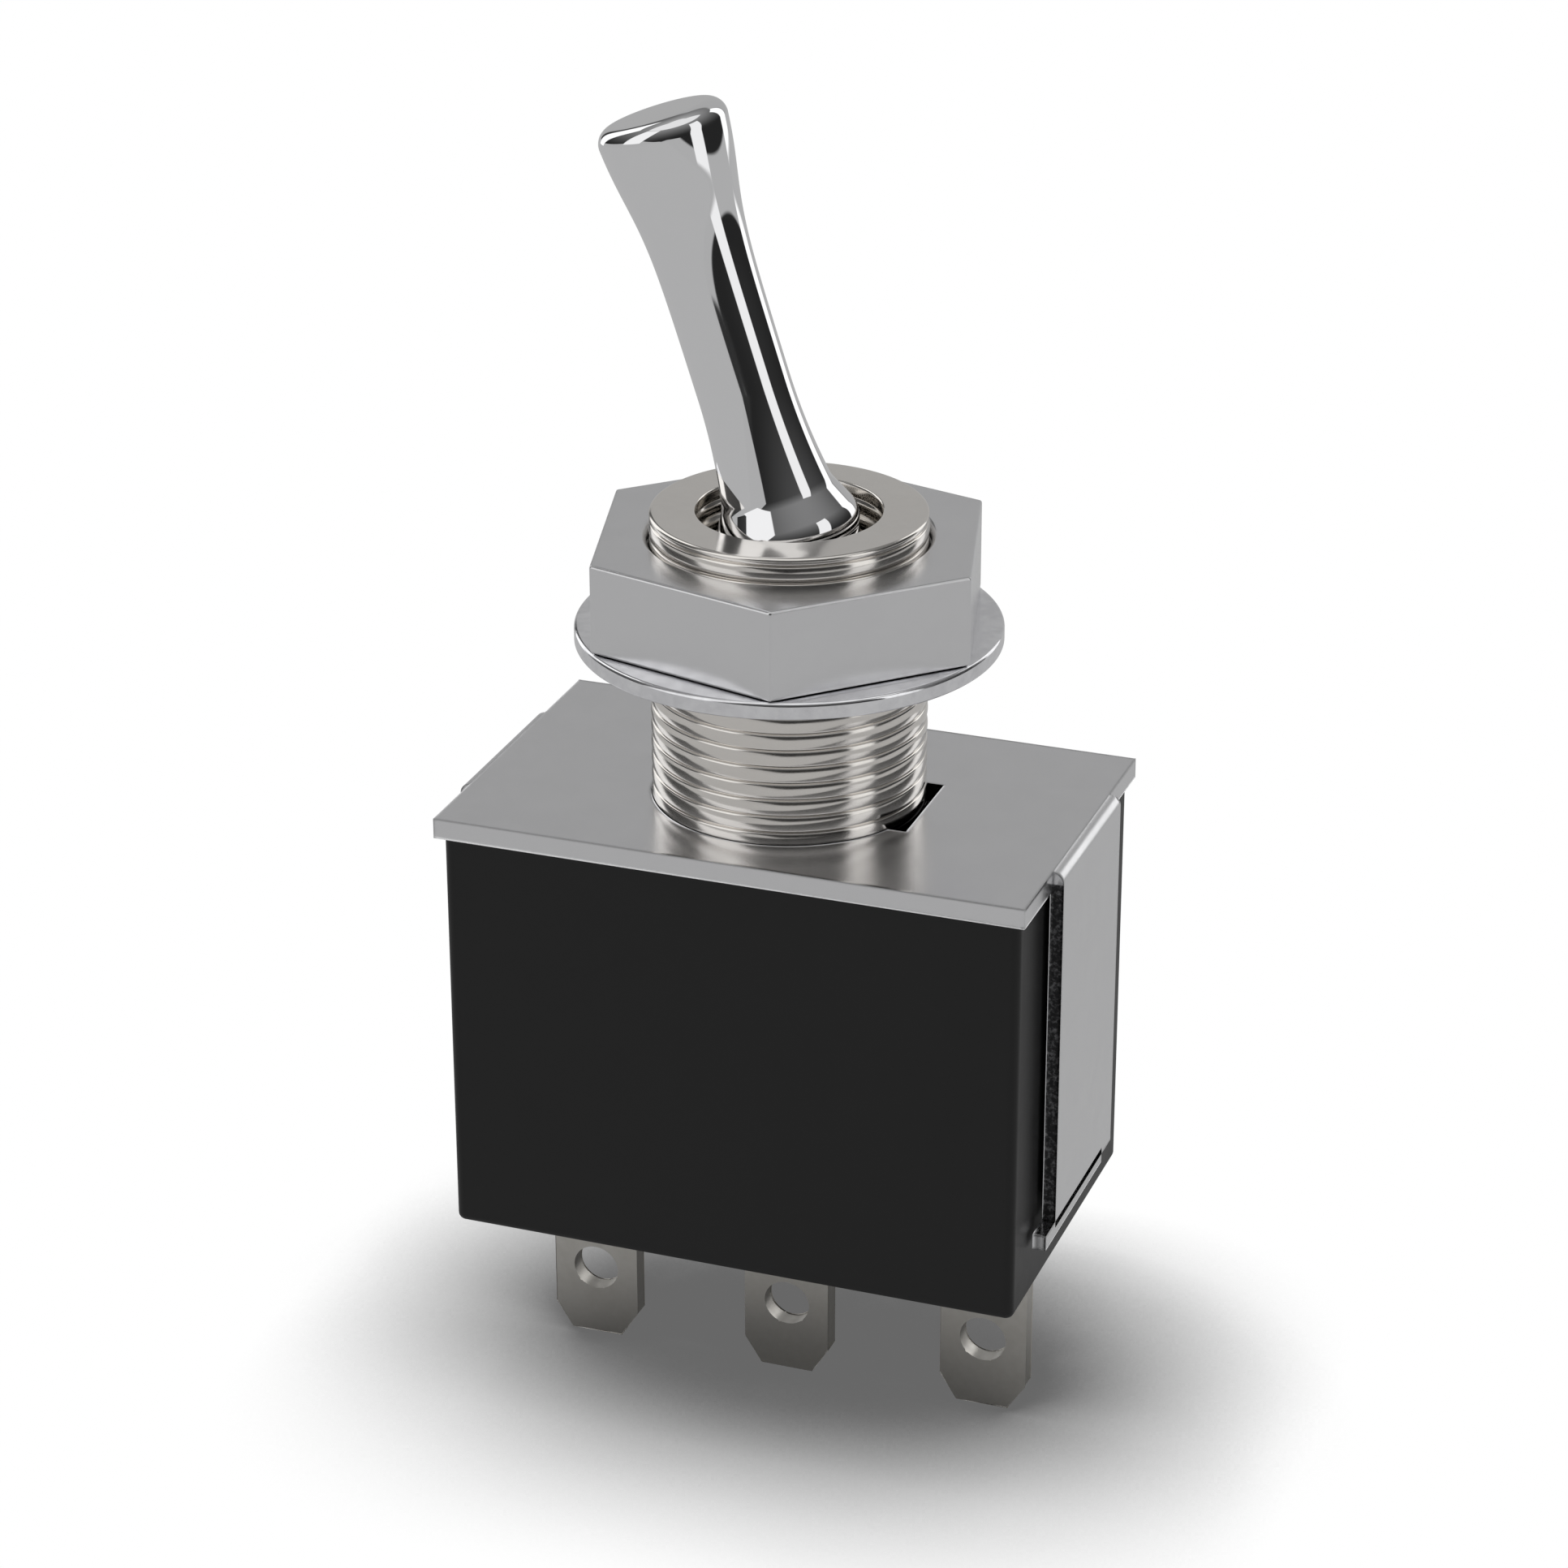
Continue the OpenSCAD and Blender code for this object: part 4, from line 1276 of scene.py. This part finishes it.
@dataclass
class Case:
    """The black moulded case with its chamber, slots, ribs and rails."""

    half_l: float = 6.52
    half_w: float = 3.98
    top: float = -0.466
    bottom: float = -9.93
    edge: float = 0.17
    corner: float = 0.2
    rail_x: float = 6.595
    rail_half: float = 1.725
    rail_low: float = -7.92
    rail_high: float = -1.1
    chamber_half_l: float = 5.5
    chamber_half_w: float = 2.86
    ledge: float = 0.3
    ledge_z: float = -1.456
    floor_z: float = -7.9
    flange_hole_r: float = 3.65
    flange_z: float = -0.866
    recess_half_l: float = 5.975
    recess_half_w: float = 1.2
    recess_top: float = -9.18
    recess_corner: float = 0.6
    pitch: float = 4.72
    slot_half_w: float = 1.015
    slot_half_t: float = 0.2385
    slot_top: float = -8.59
    post_half: tuple[float, float, float] = (0.73, 0.93, 0.73)
    rib_half: float = 0.8
    rib_in: float = 1.78
    rib_top: float = -4.74
    overlap: float = 0.1
    rib_root: float = 0.2
    rail_root: float = 0.3
    corner_low: float = 0.02
    edge_rows: int = 9
    hole_sides: int = 96
    sharp: float = 40.0

    def shell(self) -> np.ndarray:
        """Stacks rounded rectangles from the top down to the lower edge and round it.

        At the angle a of the edge's quarter circle the outline is drawn in by edge * (1 - sin a) and lies
        edge * (1 - cos a) above the bottom.

        Returns:
            Grid of points, one row for each outline.
        """
        quarter = np.radians(np.linspace(90.0, 0.0, self.edge_rows))
        insets = [0.0, 0.0, *(self.edge * (1.0 - np.sin(quarter))), self.edge + HOLD]
        bend = self.bottom + self.edge * (1.0 - np.cos(quarter))
        heights = [self.top, self.bottom + self.edge + HOLD, *bend, self.bottom]
        rows = []
        for inset, height in zip(insets, heights):
            x, y = self.half_l - inset, self.half_w - inset
            radius = max(self.corner - inset, self.corner_low)
            outline = rounded_corners([(-x, -y), (x, -y), (x, y), (-x, y)], [radius] * 4, steps=8)
            rows.append(np.column_stack([outline, np.full(len(outline), height)]))
        return np.stack(rows)

    def build(self, shop: Workshop) -> None:
        """Builds the case and hands it in.

        Args:
            shop: The workshop that dresses it.
        """
        piece = add_object(tube_mesh("moulded_case", self.shell(), False))
        for side in (1.0, -1.0):
            low, high = sorted(((self.half_l - self.rail_root) * side, self.rail_x * side))
            combine(piece, box_mesh("rail", (low, -self.rail_half, self.rail_low),
                                    (high, self.rail_half, self.rail_high)), Union.ADD)
        self._hollow(piece, 0.0, self.chamber_half_l + self.ledge, self.chamber_half_w + self.ledge,
                     self.ledge_z, THROUGH)
        self._hollow(piece, 0.0, self.chamber_half_l, self.chamber_half_w, self.floor_z, THROUGH)
        hole = circle((0.0, 0.0), self.flange_hole_r, self.hole_sides)
        combine(piece, carried_outline("flange_hole", hole, Axis.Z, self.flange_z, THROUGH), Union.CUT)
        corner = self.recess_corner
        recess = rounded_corners(
            [(-self.recess_half_l, -self.recess_half_w), (self.recess_half_l, -self.recess_half_w),
             (self.recess_half_l, self.recess_half_w), (-self.recess_half_l, self.recess_half_w)],
            [corner] * 4, steps=8)
        deep = self.bottom - THROUGH
        combine(piece, carried_outline("recess", recess, Axis.Z, deep, self.recess_top), Union.CUT)
        for place, post in zip((-1.0, 0.0, 1.0), self.post_half):
            middle = place * self.pitch
            self._hollow(piece, middle, self.slot_half_w, self.slot_half_t,
                         self.recess_top - self.overlap, self.slot_top)
            self._hollow(piece, middle, post, self.slot_half_t,
                         self.slot_top - self.overlap, self.floor_z + self.overlap)
        for side in (1.0, -1.0):
            low, high = sorted((self.rib_in * side, (self.chamber_half_w + self.rib_root) * side))
            combine(piece, box_mesh("rib", (-self.rib_half, low, self.floor_z - self.rib_root),
                                    (self.rib_half, high, self.rib_top)), Union.ADD)
        shade(piece, self.sharp)
        shop.hand_in(piece, "housing", Look.BLACK_PLASTIC, ["case"])

    @staticmethod
    def _hollow(
        piece: bpy.types.Object, middle: float, half_l: float, half_w: float, low: float, high: float
    ) -> None:
        """Cuts a box that is even about its middle on the row of terminals out of the case."""
        combine(piece, box_mesh("hollow", (middle - half_l, -half_w, low), (middle + half_l, half_w, high)),
                Union.CUT)


@dataclass
class Terminals:
    """The three plated blades with their eyelets, posts and shelves."""

    pitch: float = 4.72
    half_w: float = 1.005
    thick: float = 0.457
    tip: float = -14.52
    cut_w: float = 0.4
    cut_h: float = 0.62
    shoulder: float = -8.6
    eyelet_z: float = -12.84
    eyelet_r: float = 0.56
    post_half: float = 0.72
    common_half: float = 0.92
    common_top: float = -4.64
    seat_z: float = -4.44
    seat_r: float = 0.64
    # Known fault: the source's shelf, under the fixed contacts, has its top at -4.307.
    shelf_top: float = -5.62
    shelf_reach: float = 1.4
    bend_r: float = 0.1
    edge: float = 0.03
    edge_limit: float = 30.0
    root: float = 0.2

    def blade(self, name: str, middle: float) -> bpy.types.Object:
        """Builds one blade: an outline with cut corners, carried through its thickness.

        Args:
            name: Name of the piece.
            middle: The blade's middle along X.

        Returns:
            The blade.
        """
        half = self.half_w
        outline = np.array([
            (-half + self.cut_w, self.tip), (half - self.cut_w, self.tip), (half, self.tip + self.cut_h),
            (half, self.shoulder), (-half, self.shoulder), (-half, self.tip + self.cut_h),
        ]) + (middle, 0.0)
        return add_object(carried_outline(name, outline, Axis.Y, -self.thick / 2.0, self.thick / 2.0))

    def post(self, middle: float) -> bpy.types.Mesh:
        """Builds an outer post, which folds into a shelf: its section in Y and Z, carried along X.

        Args:
            middle: The post's middle along X.

        Returns:
            The post's mesh.
        """
        half_t = self.thick / 2.0
        fold_r = self.thick + self.bend_r
        fold_y = fold_r - half_t
        section = np.concatenate([
            [(-half_t, self.shoulder - self.root)],
            arc((fold_y, self.shelf_top - fold_r), fold_r, 180.0, 90.0, steps=10),
            [(self.shelf_reach, self.shelf_top), (self.shelf_reach, self.shelf_top - self.thick)],
            arc((fold_y, self.shelf_top - fold_r), self.bend_r, 90.0, 180.0, steps=10),
            [(half_t, self.shoulder - self.root)],
        ])
        return carried_outline("post", section, Axis.X, middle - self.post_half, middle + self.post_half)

    def build(self, shop: Workshop) -> None:
        """Builds the three terminals and hands them in.

        Args:
            shop: The workshop that dresses them.
        """
        half_t = self.thick / 2.0
        for name, node, place in (("left_blade", "left_terminal", -1.0),
                                  ("common_blade", "common_terminal", 0.0),
                                  ("right_blade", "right_terminal", 1.0)):
            middle = place * self.pitch
            piece = self.blade(name, middle)
            if place:
                combine(piece, self.post(middle), Union.ADD)
            else:
                combine(piece, box_mesh("post", (-self.common_half, -half_t, self.shoulder - self.root),
                                        (self.common_half, half_t, self.common_top)), Union.ADD)
                seat = circle((0.0, self.seat_z), self.seat_r, sides=48)
                combine(piece, carried_outline("seat", seat, Axis.Y, -THROUGH, THROUGH), Union.CUT)
            eyelet = circle((middle, self.eyelet_z), self.eyelet_r, sides=64)
            combine(piece, carried_outline("eyelet", eyelet, Axis.Y, -THROUGH, THROUGH), Union.CUT)
            soften_edges(piece, self.edge, 2, self.edge_limit)
            shop.hand_in(piece, "housing", Look.PLATED_BRASS, [node])


KEPT_NODES: dict[str, Look] = {
    "insulator": Look.BLACK_CARD,
    "terminal_seal": Look.SEALANT,
    "pivot_saddle": Look.BARE_BRASS,
    "left_fixed_contact": Look.CONTACT_METAL,
    "right_fixed_contact": Look.CONTACT_METAL,
    "rocker": Look.BARE_BRASS,
    "left_moving_contact": Look.CONTACT_METAL,
    "right_moving_contact": Look.CONTACT_METAL,
    "pivot_pin": Look.HARD_STEEL,
    "plunger_spring": Look.SPRING_STEEL,
    "plunger": Look.WHITE_NYLON,
}


# Studio.


@dataclass(frozen=True)
class Panel:
    """A bright or grey panel of the studio, in degrees of azimuth from the front and of elevation."""

    left: float
    right: float
    low: float
    high: float
    level: float
    left_lean: float = 0.0
    right_lean: float = 0.0
    softness: float = 2.0


@dataclass
class Studio:
    """The pale floor, the surroundings that the metal mirrors, and the camera."""

    floor_z: float = -14.67
    floor_r: float = 170.0
    floor_sides: int = 96
    shade_reach: float = 7.5
    shade_power: float = 4.0
    shade_floor: float = 0.136
    shade_lean: tuple[float, float, float] = (0.0, -0.53, 0.85)
    mirrored_floor: float = 0.45
    plain_level: float = 1.0
    wall_level: float = 0.019
    wall_rise: float = 0.24
    wall_bend: float = 1.5
    wall_top: float = 60.0
    panels: tuple[Panel, ...] = (
        Panel(163.0, 236.0, -30.0, 43.0, 0.41, right_lean=-0.4, softness=6.0),
        Panel(-60.0, 136.0, 58.0, 95.0, 0.82, left_lean=-1.6, right_lean=0.6, softness=3.0),
        Panel(-181.0, 181.0, 79.0, 95.0, 0.82, softness=3.0),
        Panel(-181.0, 181.0, -60.0, -4.3, 0.44, softness=1.0),
        Panel(-155.0, 26.0, -12.0, 13.0, 0.44, left_lean=4.8, right_lean=-1.83, softness=2.2),
        Panel(18.0, 18.8, -7.6, -2.0, 0.03, left_lean=-1.83, right_lean=2.76, softness=2.2),
        Panel(-128.0, -112.0, -10.0, 50.0, 1.15, left_lean=-0.1, right_lean=0.25, softness=2.5),
        Panel(-59.0, -24.5, 4.0, 57.0, 0.95, left_lean=0.02, right_lean=0.3, softness=2.0),
        Panel(70.0, 91.5, -8.0, 47.0, 0.92, right_lean=0.04, softness=1.6),
        Panel(143.0, 162.0, -8.0, 41.0, 1.15, softness=2.0),
    )
    azimuth: float = 20.121
    elevation: float = 24.093
    distance: float = 99.197
    target: tuple[float, float, float] = (-0.1275, 0.0, 0.0825)
    roll: float = -0.108
    lens: float = 104.29
    sensor: float = 36.0
    clip_start: float = 1.0
    clip_end: float = 20000.0

    def build(self, effects: Effects) -> None:
        """Builds the floor, the surroundings and the camera.

        Args:
            effects: The shared node groups.
        """
        self._floor()
        self._surroundings(effects)
        self._camera()
        bpy.context.scene.view_settings.view_transform = "Standard"

    def _floor(self) -> None:
        """Builds a large disc whose own light is white to the camera and darker to the metal.

        Its shade is the share of open sky within reach round a way that leans to the front, raised to a
        power and held above a lowest level.
        """
        ring = circle((0.0, 0.0), self.floor_r, self.floor_sides)
        mesh = bpy.data.meshes.new("studio_floor")
        points = np.column_stack([ring, np.full(len(ring), self.floor_z)]) * MM
        mesh.from_pydata(points.tolist(), [], [tuple(range(len(ring)))])
        floor = add_object(mesh)
        material = bpy.data.materials.new("studio_floor")
        shader = Shader.of(material)
        leaning = shader.node("ShaderNodeCombineXYZ", dict(enumerate(self.shade_lean)))
        open_sky = shader.node(
            "ShaderNodeAmbientOcclusion", {"Distance": self.shade_reach * MM, "Normal": leaning.outputs[0]},
            samples=SHADE_SAMPLES).outputs["AO"]
        shade_level = shader.math(
            "MAXIMUM", shader.math("POWER", open_sky, self.shade_power), self.shade_floor)
        path = shader.node("ShaderNodeLightPath").outputs
        level = shader.ramp(path["Is Glossy Ray"], 0.0, 1.0, 1.0, self.mirrored_floor)
        glow = shader.node(
            "ShaderNodeEmission",
            {"Color": (1.0, 1.0, 1.0, 1.0), "Strength": shader.math("MULTIPLY", shade_level, level)})
        shader.close("ShaderNodeOutputMaterial", glow)
        floor.data.materials.append(material)
        LOG.info("%s: disc at %.2f mm", floor.name, self.floor_z)

    def _surroundings(self, effects: Effects) -> None:
        """Builds the world: white to the camera, even to matt surfaces, a dark room with panels to metal.

        The room's light is level + rise * (elevation / top) to the power bend above the horizon.

        Args:
            effects: The shared node groups.
        """
        world = bpy.data.worlds.new("studio")
        bpy.context.scene.world = world
        world.cycles.sampling_method = "NONE"
        shader = Shader.of(world)
        direction = shader.node("ShaderNodeTexCoord").outputs["Generated"]
        part = shader.node("ShaderNodeSeparateXYZ", {0: direction}).outputs
        azimuth = shader.math("MULTIPLY", shader.math(
            "ARCTAN2", part[0], shader.math("MULTIPLY", part[1], -1.0)), 180.0 / math.pi)
        elevation = shader.math("MULTIPLY", shader.math("ARCSINE", part[2]), 180.0 / math.pi)
        height = shader.math("MAXIMUM", shader.math("DIVIDE", elevation, self.wall_top), 0.0)
        bent = shader.math("POWER", height, self.wall_bend)
        room = shader.math("MULTIPLY_ADD", bent, self.wall_rise, self.wall_level)
        for panel in self.panels:
            for turn in (0.0, 360.0):
                if turn and panel.right <= 180.0:
                    continue
                mask = shader.group(effects.panel, {
                    "Azimuth": azimuth, "Elevation": elevation,
                    "Left": panel.left - turn, "Right": panel.right - turn,
                    "Left Lean": panel.left_lean, "Right Lean": panel.right_lean,
                    "Low": panel.low, "High": panel.high, "Softness": panel.softness,
                }).outputs["Mask"]
                room = shader.math("MULTIPLY_ADD", mask, shader.math("SUBTRACT", panel.level, room), room)
        path = shader.node("ShaderNodeLightPath").outputs
        level = shader.math("MULTIPLY_ADD", path["Is Glossy Ray"],
                            shader.math("SUBTRACT", room, self.plain_level), self.plain_level)
        glow = shader.node("ShaderNodeBackground", {"Color": (1.0, 1.0, 1.0, 1.0), "Strength": level})
        shader.close("ShaderNodeOutputWorld", glow)

    def _camera(self) -> None:
        """Places the camera at the photograph's angle, with its lens and its slight roll."""
        turn, tilt = math.radians(self.azimuth), math.radians(self.elevation)
        back = np.array([math.sin(turn) * math.cos(tilt), -math.cos(turn) * math.cos(tilt), math.sin(tilt)])
        level_right = np.array([math.cos(turn), math.sin(turn), 0.0])
        level_up = np.cross(back, level_right)
        c, s = math.cos(math.radians(self.roll)), math.sin(math.radians(self.roll))
        right, up = c * level_right + s * level_up, c * level_up - s * level_right
        place = (np.array(self.target) + self.distance * back) * MM
        matrix = np.eye(4)
        matrix[:3, :3] = np.stack([right, up, back], axis=1)
        matrix[:3, 3] = place
        data = bpy.data.cameras.new("camera")
        data.lens = self.lens
        data.sensor_width = self.sensor
        data.clip_start = self.clip_start * MM
        data.clip_end = self.clip_end * MM
        camera = bpy.data.objects.new("camera", data)
        bpy.context.scene.collection.objects.link(camera)
        camera.matrix_world = Matrix(matrix.tolist())
        bpy.context.scene.camera = camera


def main() -> None:
    """Builds every piece, the studio and the camera."""
    logging.basicConfig(level=logging.INFO, format="%(name)s %(message)s")
    shop = Workshop()
    for part in (Bushing(), Lever(), HexNut(), Washer(), Bracket(), Case(), Terminals()):
        part.build(shop)
    for node, look in KEPT_NODES.items():
        shop.dress_node(node, look)
    Studio().build(shop.effects)


if __name__ == "__main__":
    main()
